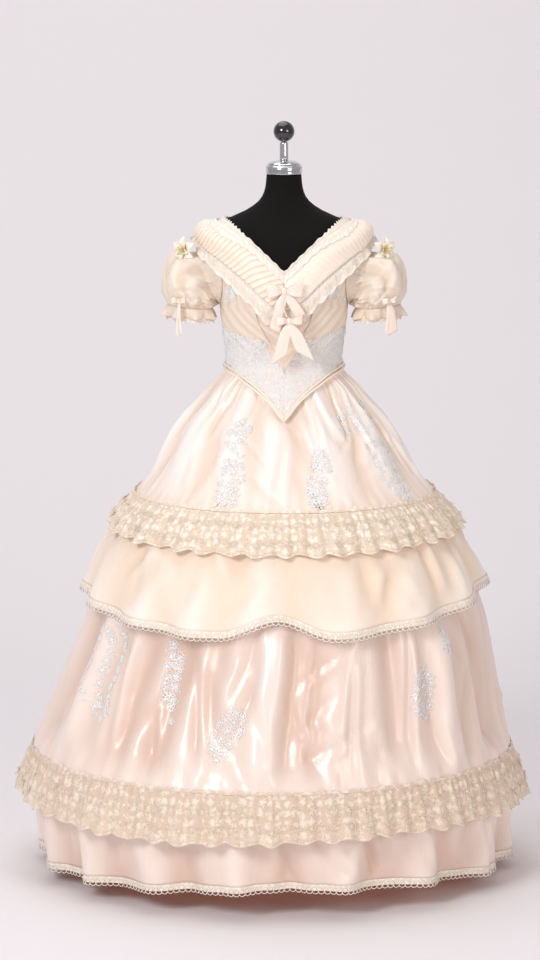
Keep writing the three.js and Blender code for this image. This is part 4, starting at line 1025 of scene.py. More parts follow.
def underskirt_fold(angle, fall):
    swell = np.sin(np.pi * np.clip(fall, 0, 1)) ** 0.7
    total = -9 * swell * (1 - ripple(angle, 14, 2.4))
    for at, width, depth, start, end, drift in deep_folds:
        offset = signed(angle) - at - drift * fall
        reach = smooth(fall, start - 0.1, start + 0.15) * (1 - smooth(fall, end - 0.12, end))
        total = total - 1.25 * depth * reach * bump(offset / width)
    for at, width, depth, start, end, drift in soft_puffs:
        offset = (signed(angle) - at - drift * fall) / width
        reach = smooth(fall, start - 0.06, start + 0.1) * (1 - smooth(fall, end - 0.1, end))
        total = total - depth * reach * (np.exp(-offset ** 2) - 0.7 * np.exp(-(np.abs(offset) - 1.9) ** 2))
    small = crease_depth(under_creases, angle, fall) + 0.8 * crease_depth(under_diagonals, angle, fall)
    quiet = np.minimum(1, 14 * (1 - fall)) * smooth(fall, 0.3, 0.42)
    seam = gathers(angle, 1 - fall, 74, 1.4, 0.07) + gathers(angle, 1 - fall, 41, 2.2, 0.16, 2.0)
    return total + quiet * small + seam


sew_tier("pink_satin_skirt", "skirt_underskirt", "pink_satin", pink_satin, underskirt_rows, UNDERSKIRT_TOP,
         underskirt_hem, underskirt_fold, 240, underskirt_falls, "form_torso")

# %% Pink satin hem flounce
hem_creases = draw_creases(41, 64, falls=(0.0, 0.5), length=(0.4, 0.9), depth=(2.2, 6.0),
                           width=(1.0, 2.6), lean=3)


def hem_line(angle):
    return read(hem_rows, signed(angle)) + EDGE_LACE_WIDTH


def hem_fold(angle, fall):
    small = crease_depth(hem_creases, angle, fall) * np.minimum(1, 8 * (1 - fall))
    flare = 4.2 * fall * np.cos(37 * np.radians(angle) + 1.4 * np.sin(np.radians(5 * angle)))
    seam = gathers(angle, fall, 70, 1.2, 0.3) + flare
    return -34 * fall ** 1.1 * (1 - ripple(angle, 16, 1.7)) + (small + seam) * smooth(fall, 0, 0.15)


sew_tier("pink_hem_flounce", "skirt_hem_flounce", "pink_satin", pink_satin, hem_flounce_rows,
         HEM_FLOUNCE_TOP, hem_line, hem_fold, 250, spread_falls(27), "skirt_underskirt_{}")

# %% [markdown]
# ## Lace ruffles and edgings
# The two wide ruffles are cream raschel lace with a scalloped lower edge. The shell carries the net and the
# flat flowers in its material, and relief flowers and two gimp cords along the scallops are real geometry,
# because they catch the light and cast small shadows. The narrow edgings are crocheted: a strip of net with
# a row of ring eyelets and a row of picots.


# %% Scallops, cords and rows
def scallop(angle, count, depth):
    return depth * (0.5 - 0.5 * np.cos(count * np.radians(angle)))


LEVEL = np.array([1, 1, 0])
# The crest of a cord: on satin piping a painted highlight between the body colour and the crest's.
CORD_FOLD_LIGHT = 0.7


def tube_mesh(name, path, radius, sides=5, closed=False):
    """A thin cord of round section along a path in millimetres."""
    path = np.asarray(path, float)
    if closed:
        along = np.roll(path, -1, axis=0) - np.roll(path, 1, axis=0)
    else:
        along = np.gradient(path, axis=0)
    along = unit(along)
    upward = unit(np.cross(unit(path * LEVEL), along))
    outward = np.cross(along, upward)
    radius = np.broadcast_to(radius, (len(path),))[:, None, None]
    turns = 2 * np.pi * np.arange(sides) / sides
    rim = outward[:, None] * np.cos(turns)[None, :, None] + upward[:, None] * np.sin(turns)[None, :, None]
    points = (path[:, None] + radius * rim).reshape(-1, 3)
    faces = []
    count = len(path)
    for i in range(count if closed else count - 1):
        one, two = i * sides, ((i + 1) % count) * sides
        for s in range(sides):
            t = (s + 1) % sides
            faces.append((one + s, one + t, two + t, two + s))
    if not closed:
        faces.append(tuple(range(sides))[::-1])
        faces.append(tuple((count - 1) * sides + s for s in range(sides)))
    mesh = mesh_of(name, points, faces)
    shape = bmesh.new()
    shape.from_mesh(mesh)
    write_mesh(shape, mesh, outwards=True)
    mesh.attributes.new("crest", "FLOAT", "POINT").data.foreach_set("value", [CORD_FOLD_LIGHT] * len(points))
    return mesh


def march(points, normals, pitch, start=0.5):
    """Places every `pitch` millimetres along a line of points, with the way it faces and runs."""
    length = np.concatenate([[0], np.cumsum(steps_along(points, 0))])
    count = max(int(length[-1] / pitch), 1)
    even = (np.arange(count) + start) * length[-1] / count

    def at(where, values):
        return np.stack([np.interp(where, length, values[:, k]) for k in range(3)], axis=1)

    return at(even, points), unit(at(even, normals)), unit(at(even + 1, points) - at(even - 1, points))


# %% A lace flower
LOOP_SIDES, LOOP_BASE = 7, 0.0005
ROOF_TURNS = (-0.4, 1.57, 3.54)


def loop(shape, turn, distance, length, width, thread):
    """A petal worked as a loop of cord, `distance` out from the flower's middle. The cord is a low roof."""
    aim = Vector((math.cos(turn), math.sin(turn), 0))
    side = Vector((-aim.y, aim.x, 0))
    rings = []
    for i in range(LOOP_SIDES):
        a = 2 * math.pi * i / LOOP_SIDES
        middle = aim * (distance + length / 2 * math.cos(a)) + side * (width / 2 * math.sin(a))
        out = aim * math.cos(a) + side * math.sin(a)
        ring = []
        for b in ROOF_TURNS:
            lift = Vector((0, 0, LOOP_BASE + thread * math.sin(b)))
            ring.append(shape.verts.new(middle + out * (thread * math.cos(b)) + lift))
        rings.append(ring)
    for i in range(LOOP_SIDES):
        one, two = rings[i], rings[(i + 1) % LOOP_SIDES]
        for k in range(2):
            face = shape.faces.new((one[k], two[k], two[k + 1], one[k + 1]))
            face.normal_flip()
            face.smooth = True


def rose(shape):
    """A lace flower 17 mm across: cord petals round a solid middle, and three leaves that reach past them."""
    for k in range(5):
        loop(shape, 2 * math.pi * k / 5, 0.0054, 0.0064, 0.0056, 0.0007)
    petals_of(shape, 5, 0.0032, 0.0032, 0.0012, start=0.6, base=0.0004)
    for turn in (0.3, math.pi - 0.3, -0.6):
        loop(shape, turn, 0.0125, 0.0078, 0.0038, 0.0006)


lace_rose = pattern_piece("pattern_rose", rose)
print("lace flower:", len(lace_rose.data.polygons), "faces")


# %% A ruffle of wide lace
TAPER = 0.009


def wide_lace(name, node, net, rows, top, hem, fold, columns, seed, row_parts, rests_on, size):
    """A ruffle of wide lace: net shell, two gimp cords and rows of relief flowers."""
    for half, (start, end) in HALVES:
        angles = np.linspace(start, end, columns)
        points, out = tier_points(rows, top, hem, fold, angles, spread_falls(15))
        # crest paints shade into the ruffle's hollows.
        shell = cloth(f"{name}_{half}", points, f"{node}_{half}", "cream_lace", net, "gathered",
                      [rests_on.format(half)], crest=crest_of(out), wall=0)
        normals = grid_normals(points)
        for order, part in enumerate((1.0, 0.93)):
            line, _ = tier_points(rows, top, hem, fold, angles, np.array([part]))
            cord = tube_mesh("gimp", line[0] + normals[-1] * 0.7, 0.9 - 0.25 * order, 4)
            trim(f"{name}_gimp_{order + 1}_{half}", cord, "cream_lace", cream_thread, on=shell)
        foot = points[0] + normals[0] * 1.2
        turn = np.radians(angles)
        rise = 7 + 1.6 * np.sin(41 * turn) + 1.2 * np.sin(97 * turn + 1)
        flare = 0.6 + 1.5 * np.cos(119 * turn + 2 * np.sin(6 * turn))
        head = foot + normals[0] * flare[:, None] - points[0] * LEVEL * TAPER
        head[:, 2] += rise
        heading = sheet_mesh("heading", np.stack([head, (head + foot) / 2, foot]))
        trim(f"{name}_heading_{half}", heading, "cream_lace", net, on=shell)
        places, facing, along = [], [], []
        for part, pitch, begin in row_parts:
            r = int(part * (len(points) - 1))
            found = march(points[r] + normals[r] * 0.5, normals[r], pitch, begin)
            for total, new in zip((places, facing, along), found):
                total.append(new)
        sew_motifs(f"{name}_flowers_{half}", np.concatenate(places), np.concatenate(facing),
                   np.concatenate(along), lace_rose, size, cream_thread, "cream_lace", shell, 0.14, seed)
        print(shell.name, len(places[0]) + len(places[1]), "flowers")


# %% Upper lace ruffle
def upper_lace_hem(angle):
    return 733 - 12 * np.maximum(0, np.cos(np.radians(angle))) + scallop(angle, 40, 7)


def upper_lace_fold(angle, fall):
    fine = 4.6 * fall ** 0.7 * np.cos(61 * np.radians(angle) + 2 * np.sin(np.radians(5 * angle)))
    pucker = gathers(angle, fall, 120, 1.3, 0.5)
    return 11 * fall * ripple(angle, 16, 2.1) + fine + pucker


wide_lace("upper_lace_ruffle", "skirt_upper_lace", cream_lace, upper_lace_rows, FLOUNCE_TOP, upper_lace_hem,
          upper_lace_fold, 420, 3, [(0.74, 27, 0.5), (0.34, 33, 0.2)], "matt_flounce_{}", 1.0)


# %% Lower lace ruffle
def lower_lace_hem(angle):
    return 164 + 6 * np.sin(np.radians(3 * angle)) + scallop(angle, 54, 8)


def lower_lace_fold(angle, fall):
    fine = 4.4 * fall ** 0.7 * np.cos(79 * np.radians(angle) + 2 * np.sin(np.radians(4 * angle)))
    return 10 * fall * ripple(angle, 16, 0.3) + fine + gathers(angle, fall, 150, 1.3, 0.5)


wide_lace("lower_lace_ruffle", "skirt_lower_lace", shaded_lower_lace, lower_lace_rows, LOWER_LACE_TOP, lower_lace_hem,
          lower_lace_fold, 560, 5, [(0.76, 29, 0.5), (0.4, 34, 0.2)], "pink_hem_flounce_{}", 1.1)

# %% Narrow edgings
EYELET_PITCH, PICOT_PITCH = 10.5, 12.2


def narrow_edging(name, node, rows, hem, fold, columns, rests_on):
    """A crocheted edging that goes on from a hem with the same folds."""
    for half, (start, end) in HALVES:
        angles = np.linspace(start, end, columns)
        upper = hem(angles)
        drops = np.array([-1.5, 3.0, 7.5, 11.5])
        z = upper[None, :] - drops[:, None]
        out = fold(angles, 1.0)
        points = sway(section(rows, angles[None, :], z, out + 0.4))
        strip = cloth(f"{name}_{half}", points, f"{node}_{half}", "white_lace", white_lace, "gathered",
                      [rests_on.format(half)], wall=0)
        normals = grid_normals(points)
        eyes = march(points[2] + normals[2] * 0.4, normals[2], EYELET_PITCH)
        sew_motifs(f"{name}_eyelets_{half}", *eyes, eyelet, 1.0, white_thread, "white_lace", strip)
        edge = march(points[3] + normals[3] * 0.3, normals[3], PICOT_PITCH)
        sew_motifs(f"{name}_picots_{half}", *edge, picot, 1.0, white_thread, "white_lace", strip)
        print(strip.name, len(eyes[0]), "eyelets")


narrow_edging("flounce_edging", "skirt_flounce_edge", flounce_rows, flounce_hem, flounce_fold, 500,
              "matt_flounce_{}")
narrow_edging("hem_edging", "skirt_hem_edge", hem_flounce_rows, hem_line, hem_fold, 640,
              "pink_hem_flounce_{}")

# %% [markdown]
# ## The bodice
# The bodice is cut close: two draped side fronts that meet in a long point over the skirt, a tucked panel
# between them, and plain backs. The folds are pulled, not gathered, so they run slantwise from under the arm
# down to the middle and are sharpest where they start. They are added along the panel's normals.

# %% Edges of the bodice panels
ARMHOLE_HEIGHT, ARMHOLE_HALF_HEIGHT, ARMHOLE_HALF_ANGLE = 1264.0, 64.0, 26.0
PANEL_BOTTOM, PANEL_TOP, PANEL_HALF_ANGLE = 1080.0, 1337.0, 26.0
PANEL_TUCKED_UNDER = 2.4
POINT_TOP, SHOULDER_TOP, NAPE = 1090, 1369.0, neck_rows[-1][1]
SIDE_COLUMNS, BACK_COLUMNS, BACK_ROWS = 46, 40, 64
TUCKS, TUCK_DEPTH = 6, 1.6
SIDES = (("right", False), ("left", True))
centre_edge_rows = [(1080, 1.5), (1200, 26), (1337, 26)]
front_neck_by_height = [(z, angle) for angle, z in neck_rows if angle <= 90]
back_neck_by_height = [(z, angle) for angle, z in reversed(neck_rows) if angle >= 90]


def armhole_span(z):
    """How far round the armhole's edge lies from the side, at a height."""
    level = np.clip((z - ARMHOLE_HEIGHT) / ARMHOLE_HALF_HEIGHT, -1, 1)
    return ARMHOLE_HALF_ANGLE * np.sqrt(1 - level * level)


def raised(points, lift):
    """A grid moved out along its own normals."""
    lift = np.broadcast_to(np.asarray(lift, float), points.shape[:2])
    return points + grid_normals(points) * lift[..., None]


# %% Tucked centre panel
u, v = np.meshgrid(np.linspace(-1, 1, 34), np.linspace(1, 0, 100))
half_angle = read(centre_edge_rows, mix(PANEL_BOTTOM, PANEL_TOP, v)) + PANEL_TUCKED_UNDER
panel_top = read(neck_rows, np.abs(u) * PANEL_HALF_ANGLE)
panel_z = mix(PANEL_BOTTOM - 5, panel_top, v)
panel = section(bodice_rows, u * half_angle, panel_z)
sag = v + 0.012 * np.cos(np.pi * u) + 0.01 * np.sin(7 * v + 3 * u)
tuck_wave = (0.5 + 0.5 * np.cos(2 * np.pi * (TUCKS * sag + 0.16 * np.sin(2 * np.pi * TUCKS * sag))))
tuck = TUCK_DEPTH * tuck_wave * (0.7 + 0.3 * np.cos(5 * u + 9 * v)) - 0.9 * smooth(np.abs(u), 0.86, 0.95)
tucked = raised(panel, tuck * smooth(panel_z, 1082, 1096) - 0.5)
# crest paints shade into the hollows of the tucks.
centre_front = cloth("bodice_tucked_front", tucked, "bodice_centre_front", "chiffon", bodice_chiffon,
                     "stretched", ["form_torso"], crest=0.25 + 0.75 * tuck_wave)
print("centre front", len(centre_front.data.polygons), "faces")


# %% Draped side fronts
def side_front(mirror):
    """A side front's grid, folds and shade. Below POINT_TOP it runs down to the point of the basque."""
    u = np.linspace(0, 1, SIDE_COLUMNS)
    rows, heights = [], []
    for s in np.linspace(0, 0.97, 22):
        inner = float(read(centre_edge_rows, POINT_TOP)) * float(smooth(s, 0.9, 1.0)) - 0.3 * (not mirror)
        angle = mix(inner, 90.0, u)
        z = mix(read(basque_rows, angle), POINT_TOP, s)
        rows.append(section(bodice_rows, angle, z))
        heights.append(z)
    for z in np.linspace(POINT_TOP + 2, SHOULDER_TOP, 92):
        inner = read(front_neck_by_height, z) if z > PANEL_TOP else read(centre_edge_rows, z)
        angle = mix(inner, 90 - armhole_span(z), u)
        rows.append(section(bodice_rows, angle, z))
        heights.append(np.full_like(u, z))
    points, z = np.stack(rows[::-1]), np.stack(heights[::-1])
    reach = smooth(z, 1098, 1120) * (1 - smooth(z, 1290, 1330))
    pull = z - 150 * u - 10 * np.sin(2.4 * u)
    wave = 0.5 + 0.5 * np.cos(2 * np.pi * pull / 34 + 0.9 * np.sin(pull / 23))
    small = 0.5 + 0.5 * np.cos(2 * np.pi * pull / 15.5 + 1.4 * np.sin(pull / 31) + 2 * u)
    lift = reach * (1 - 0.8 * u * u) * (2.1 * wave ** 1.3 + 0.7 * small)
    return points, lift, 0.2 + 0.8 * np.clip(0.75 * wave + 0.25 * small, 0, 1) * reach + 0.55 * (1 - reach)


side_fronts = {}
for side, mirror in SIDES:
    points, lift, crest = side_front(mirror)
    side_fronts[side] = cloth(
        f"bodice_draped_front_{side}", raised(points, lift), f"bodice_side_front_{side}", "chiffon",
        bodice_chiffon, "stretched", ["form_torso"], crest=crest, mirror=mirror)
print("side fronts", len(side_fronts["left"].data.polygons), "faces each")


# %% Plain backs, with a seam in the middle
def back_panel():
    u = np.linspace(0, 1, BACK_COLUMNS)
    rows = []
    for z in np.linspace(SHOULDER_TOP, WAIST + 2.5, BACK_ROWS):
        middle = read(back_neck_by_height, z) if z > NAPE else 180.0
        rows.append(section(bodice_rows, mix(90 + armhole_span(z), middle, u), z))
    points = np.stack(rows)
    across, down = np.meshgrid(u, np.linspace(0, 1, BACK_ROWS))
    dart = -1.1 * np.exp(-((across - 0.52) / 0.02) ** 2) * smooth(down, 0.25, 0.5)
    pull = 0.5 * np.cos(2 * np.pi * (down * 13 + 1.5 * across)) * (1 - across) * smooth(down, 0.5, 0.9)
    seam = -0.9 * np.exp(-((1 - across) / 0.03) ** 2)
    return points, dart + pull + seam


for side, mirror in SIDES:
    points, lift = back_panel()
    # crest paints faint shade along the dart, the seam and the pulls.
    cloth(f"bodice_plain_back_{side}", raised(points, lift), f"bodice_back_{side}", "chiffon", bodice_chiffon,
          "stretched", ["form_torso"], crest=0.75 + 0.25 * lift, mirror=mirror)
print("backs ready")

# %% Double satin piping along the basque
PIPING_RADIUS = 2.4
for name, above, further in (("upper", 2.2, 0.0), ("lower", -3.1, 0.6)):
    angle = np.linspace(-180, 180, 271)[:-1]
    z = read(basque_rows, np.abs(angle)) + above
    path = section(bodice_rows, angle, z, PIPING_RADIUS + 1.8 + further)
    mesh = tube_mesh(f"satin_piping_{name}", path, PIPING_RADIUS, 10, closed=True)
    trim(mesh.name, mesh, "satin", collar_satin, node=f"bodice_piping_{name}", on=side_fronts["right"])
print("piping radius", PIPING_RADIUS, "mm")

# %% [markdown]
# ## The bertha collar
# A bertha is a deep collar that lies off the shoulders. This one is knife pleated: each pleat rises sharply
# and slopes down to the next. Its pleats leave the neckline square to it, so they swing round the body as
# they fall. A lace band is set under its hem and a narrow beaded one along its neck edge.

# %% Pleated collar
COLLAR_PLEATS, PLEAT_DEPTH, PLEAT_SWING = 52, 2.5, 27.0
FIRST_PLEAT = -25.0
COLLAR_START, LACE_UNDER_COLLAR = 2.0, 4.0


def lifted(angle, z, lift):
    """Points that stand off the bodice along its normal."""
    base = section(bodice_rows, angle, z)
    above = section(bodice_rows, angle, z + 1)
    beside = section(bodice_rows, angle + 0.5, z)
    return base + unit(np.cross(base - above, beside - base)) * np.asarray(lift)[..., None]


def collar_points(angle, part, lift=0.0):
    """Points of the collar: part 0 is its neck edge and part 1 its hem."""
    top = read(neck_rows, angle) - 2
    hem, stand = read(collar_hem_rows, angle), read(collar_hem_rows, angle, STAND)
    return lifted(angle, mix(top, hem, part), mix(COLLAR_START, stand, smooth(part, 0, 0.5)) + lift)


# A pleat keeps one number all the way down while its angle swings round. Below 0 it starts on the front seam.
PLEAT_STEPS = (0, 0.2, 0.45, 0.7, 0.82, 0.9)
pleat_span = 180 - FIRST_PLEAT
steps = [i + s for i in range(COLLAR_PLEATS) for s in PLEAT_STEPS] + [COLLAR_PLEATS]
for side, mirror in SIDES:
    step, down = np.meshgrid(steps, np.linspace(0, 1, 18))
    number = FIRST_PLEAT + step * pleat_span / COLLAR_PLEATS
    part = mix(np.maximum(-number, 0) / PLEAT_SWING, 1, down)
    angle = number + PLEAT_SWING * np.cos(np.radians(np.maximum(number, 0)) / 2) ** 2 * part
    # The right half's pleats lie flatter in front, and the shade painted on them fades with them.
    pleat_strength = 1 - 0.72 * (1 - smooth(angle, 75, 100)) * (not mirror)
    place = step - np.floor(step + 1e-6)
    fall = np.where(place < 0.82, 1 - place / 0.82 * 0.9, mix(0.1, 1.0, (place - 0.82) / 0.18))
    height = PLEAT_DEPTH * (0.4 + 0.6 * smooth(part, 0, 0.5)) * fall * pleat_strength
    points = collar_points(np.maximum(angle, 0.1), part, 1.2 + height + 0.5 * np.sin(9 * part + angle / 11))
    # Painted shade on the slope of each pleat, by the fall of the pleat.
    shade = mix(1, fall, 0.25 + 0.75 * pleat_strength ** 2)
    cloth(f"pleated_bertha_{side}", points, f"collar_bertha_{side}", "satin", collar_satin, "gathered",
          [f"bodice_draped_front_{side}"], crest=shade, mirror=mirror, wall=0.7)
print("collar pleats:", 2 * COLLAR_PLEATS)


# %% Lace band under the collar
def collar_lace_points(angle, part):
    start = mix(read(neck_rows, angle) - 2, read(collar_hem_rows, angle), 0.95)
    edge = read(collar_lace_hem_rows, angle) + scallop(angle, 46, 5)
    under = read(collar_hem_rows, angle, STAND) - LACE_UNDER_COLLAR
    stand = mix(under, read(collar_lace_hem_rows, angle, STAND), part)
    wave = 1.8 * part * np.cos(np.radians(angle) * 19 + 1) + 0.7 * part * np.cos(np.radians(angle) * 43)
    return lifted(angle, mix(start, edge, part), stand + wave)


for side, mirror in SIDES:
    angle, part = np.meshgrid(np.linspace(0, 180, 280), np.linspace(0, 1, 10))
    points = collar_lace_points(angle, part)
    band = cloth(f"collar_lace_band_{side}", points, f"collar_lace_{side}", "white_lace", band_lace,
                 "gathered", [f"pleated_bertha_{side}"], wall=0, mirror=mirror)
    flip = MIRRORED if mirror else np.ones(3)
    outward = grid_normals(points)
    path = (points[-1] + outward[-1] * 0.4) * flip
    trim(f"collar_lace_edge_{side}", tube_mesh("edge", path, 0.9, 5), "white_lace", white_thread, on=band)
    row = march(points[6] * flip + outward[6] * flip * 0.4, outward[6] * flip, 17)
    sew_motifs(f"collar_lace_flowers_{side}", *row, lace_rose, 0.72, white_thread, "white_lace", band, 0.1, 4)
print("collar lace ready")


# %% Beaded lace along the neckline
NECK_SCALLOPS = 60


def neck_strip(angle, rise, lift):
    return lifted(angle, read(neck_rows, np.abs(angle)) + rise, lift)


for side, mirror in SIDES:
    flip = MIRRORED if mirror else np.ones(3)
    angles = np.linspace(0, 180, 260)
    angle, t = np.meshgrid(angles, np.linspace(0, 1, 6))
    rise = mix(8 - scallop(angle, NECK_SCALLOPS, 2.4), -5.0, t)
    points = neck_strip(angle, rise, np.full_like(rise, -0.3))
    strip = cloth(f"neckline_lace_{side}", points, f"collar_neck_lace_{side}", "white_lace", band_lace,
                  "stretched", [f"pleated_bertha_{side}"], wall=0.5, mirror=mirror)
    angle, part = np.meshgrid(angles, np.linspace(0, 0.23, 6))
    part = part - scallop(angle, NECK_SCALLOPS, 0.03) * (part > 0.2)
    over = collar_points(angle, part, 1.2 + PLEAT_DEPTH * 0.5 + 0.6)
    insertion = sheet_mesh("insertion", over, mirror=mirror)
    trim(f"neckline_insertion_{side}", insertion, "white_lace", band_lace, on=strip)
    mesh_points = over * flip
    outward = grid_normals(over) * flip
    for row, size, pitch in ((1, 1.0, 4.2), (4, 0.8, 5.5)):
        line = march(mesh_points[row] + outward[row] * 0.5, outward[row], pitch)
        sew_motifs(f"neckline_beads_{row}_{side}", *line, bead, size * MM, crystal, "white_lace", strip,
                   0.2, row)
print("neckline lace ready")

# %% [markdown]
# ## Puff sleeves
# Each sleeve is a short tube of organza gathered into a tilted armhole and a cuff, with a frill and a lace
# under-frill. Rings are read from a table: the outermost point, the point under the arm and the half depth.
# Crumples are drawn the way the skirt's creases are, only shorter and steeper.

# %% Sleeve rings
# part of the length, outermost X and Z, underarm X and Z, half depth
sleeve_rows = [
    (0.2, 182, 1304, 141, 1203, 53), (0.42, 231, 1300, 139.5, 1202, 80), (0.64, 251, 1266, 140, 1198, 83),
    (0.84, 256, 1228, 142, 1194, 75), (1, 242, 1198, 149, 1189, 54),
]
frill_ring_rows = [(0, 242.3, 1197.5, 148.7, 1188.5, 54.3), (1, 256, 1180, 141, 1172, 64)]
cuff_lace_rows = [(0, 240.3, 1197, 150.7, 1188, 52.3), (1, 243, 1165, 146, 1158, 56)]
SLEEVE_MIDDLE_Y = -5.0


def ring_points(rows, part, turn, out):
    outer_x, outer_z, inner_x, inner_z, depth = (read(rows, part, k) for k in range(1, 6))
    centre_y = SLEEVE_MIDDLE_Y + 0 * outer_x
    middle = np.stack([(outer_x + inner_x) / 2, centre_y, (outer_z + inner_z) / 2], axis=-1)
    reach = np.stack([(outer_x - inner_x) / 2, 0 * outer_x, (outer_z - inner_z) / 2], axis=-1)
    size = np.linalg.norm(reach, axis=-1)
    reach = reach * ((size + out) / size * np.cos(turn))[..., None]
    sideways = np.stack([0 * turn, (depth + out) * np.sin(turn), 0 * turn], axis=-1)
    return middle + reach + sideways


def armhole_points(turn):
    z = ARMHOLE_HEIGHT + (ARMHOLE_HALF_HEIGHT + 3) * np.cos(turn)
    angle = 90 + (ARMHOLE_HALF_ANGLE + 2) * np.sin(turn)
    return section(bodice_rows, angle, z, 2.2)


sleeve_creases = draw_creases(61, 64, falls=(0.02, 0.75), length=(0.2, 0.55), width=(4, 11),
                              depth=(2.0, 5.6), lean=24)


def puff_points(turn, part):
    swell = 4 * np.sin(np.pi * part) * np.cos(8 * turn)
    angle = np.degrees(turn)
    small = 0.8 * crease_depth(sleeve_creases, angle, part)
    head = 1.5 * np.exp(-(part / 0.2) ** 2) * np.cos(34 * turn + 1.5 * np.sin(3 * turn))
    cuff = 1.5 * np.exp(-((1 - part) / 0.12) ** 2) * np.cos(30 * turn + 1.2 * np.sin(2 * turn))
    out = swell + (small + head + cuff) * smooth(part, 0.02, 0.1)
    body = ring_points(sleeve_rows, np.maximum(part, 0.2), turn, out)
    blend = np.clip(part / 0.2, 0, 1)[..., None]
    return mix(armhole_points(turn), body, blend ** 0.85), small + swell


for side, mirror in SIDES:
    turn, part = np.meshgrid(np.radians(np.arange(0, 360, 2.5)), np.linspace(0, 1, 46))
    points, push = puff_points(turn, part)
    # crest paints shade into the puff's crumples, and below into the frill's waves.
    cloth(f"organza_puff_{side}", points, f"sleeve_puff_{side}", "organza", organza, "gathered",
          [f"bodice_draped_front_{side}"], crest=crest_of(push), wall=0, ring=True, mirror=mirror)
    turn, part = np.meshgrid(np.radians(np.arange(0, 360, 2)), np.linspace(0, 1, 10))
    wave = part * (6.4 * np.cos(8 * turn + 2.6) + 1.2 * np.cos(21 * turn + 1))
    frill = ring_points(frill_ring_rows, part, turn, wave - 3 * part ** 3)
    frill[..., 2] -= part ** 2 * (4 + 0.22 * wave)
    piece = cloth(f"organza_frill_{side}", frill, f"sleeve_frill_{side}", "organza", organza, "gathered",
                  [f"organza_puff_{side}"], crest=crest_of(wave), wall=0.4, ring=True, mirror=mirror)
    flip = MIRRORED if mirror else np.ones(3)
    trim(f"frill_rolled_edge_{side}", tube_mesh("edge", frill[-1] * flip, 0.9, 5, closed=True), "organza",
         cream_thread, on=piece)
    under = ring_points(cuff_lace_rows, part * (1 - 0.2 * (0.5 - 0.5 * np.cos(22 * turn))), turn,
                        2.2 * part * np.cos(7 * turn + 1))
    piece = cloth(f"cuff_lace_{side}", under, f"sleeve_lace_{side}", "white_lace", white_lace, "gathered",
                  [f"organza_puff_{side}"], wall=0, ring=True, mirror=mirror)
    trim(f"cuff_lace_edge_{side}", tube_mesh("edge", under[-1] * flip, 0.8, 5, closed=True), "white_lace",
         white_thread, on=piece)
print("sleeves ready")

# %% [markdown]
# ## Bows and silk flowers
# A ribbon is a flat strip that bends along its length. Each loop and tail is a short curve through a few
# points with a width that changes along it, so a loop pinches at the knot and a tail ends in a slant. The
# flowers are pressed silk petals with thread stamens.


# %% Ribbon strips
def curve_through(points, count):
    """A smooth curve through a few points."""
    p = np.asarray(points, float)
    p = np.vstack([2 * p[0] - p[1], p, 2 * p[-1] - p[-2]])
    at = np.linspace(0, len(p) - 3, count)
    i = np.minimum(at.astype(int), len(p) - 4)
    t = (at - i)[:, None]
    a, b, c, d = p[i], p[i + 1], p[i + 2], p[i + 3]
    square, cube = 2 * a - 5 * b + 4 * c - d, 3 * b - a - 3 * c + d
    return 0.5 * (2 * b + (c - a) * t + square * t ** 2 + cube * t ** 3)


RIBBON_COLUMNS = 9


def strip(path, widths, across, count, cup, creases, slant=0.0):
    """A ribbon: rows along its path, columns across it."""
    line = curve_through(path, count)
    t = np.linspace(0, 1, count)
    half = np.interp(t, np.linspace(0, 1, len(widths)), widths) / 2
    s = np.linspace(-1, 1, RIBBON_COLUMNS)
    across = unit(np.asarray(across, float))
    along = unit(np.gradient(line, axis=0))
    facing = np.cross(along, across)
    offset = cup * (1 - s[None, :] ** 2) * np.sin(np.pi * t)[:, None]
    offset = offset + creases * np.cos(3.5 * np.pi * s)[None, :] * np.exp(-(t / 0.3) ** 2)[:, None]
    points = line[:, None] + s[None, :, None] * half[:, None, None] * across
    points = points + offset[..., None] * facing[:, None]
    return points + (slant * s[None, :] * smooth(t, 0.6, 1)[:, None])[..., None] * along[:, None]


def join_strips(name, strips, finish, wall=0.6):
    """Several strips as one mesh with a wall."""
    parts = []
    for points in strips:
        part = new_object("strip", sheet_mesh("strip", points))
        part.data.materials.append(finish)
        thicken(part, wall)
        parts.append(part)
    shape = bmesh.new()
    for part in parts:
        shape.from_mesh(part.data)
        bpy.data.objects.remove(part)
    mesh = write_mesh(shape, bpy.data.meshes.new(name))
    mesh.materials.append(finish)
    return mesh


def knot_strip(radius_x, radius_y, radius_z):
    """The ribbon wrapped over the middle of a bow: a small pleated barrel."""
    turn, height = np.meshgrid(np.linspace(0, 2 * np.pi, 41)[:-1], np.linspace(1, -1, 13))
    fold = 1 + 0.07 * np.cos(9 * turn)
    round_off = np.sqrt(np.clip(1 - (0.92 * height) ** 2, 0, 1)) ** 0.7
    return np.stack([radius_x * fold * round_off * np.sin(turn), -radius_y * fold * round_off * np.cos(turn),
                     radius_z * height], axis=-1)


# %% Loops, tails and knots
def bow_strips(loop_length, loop_height, tails):
    strips = []
    for side, lively in ((-1, 1.0), (1, 1.12)):
        long = loop_length * lively
        path = [(side * 2, -1, 0), (side * long * 0.55, -8, 1), (side * long, -3, 2 * side + 1),
                (side * long * 0.6, 2.5, 1), (side * 2, 2, 0)]
        widths = [6, loop_height * 0.8, loop_height * 1.05, loop_height * 0.85, 6]
        strips.append(strip(path, widths, (0.12 * side, 0, 1), count=30, cup=-1.5, creases=1.0))
    for x, length, width, slant in tails:
        path = [(0, 0, -1), (x * 0.45, -3, -length * 0.4), (x, -1, -length)]
        widths = [6, width * 0.94, width, width * 1.08]
        across = (1, 0, 0.18 * np.sign(-x))
        strips.append(strip(path, widths, across, count=24, cup=1.6, creases=0.9, slant=slant))
    return strips


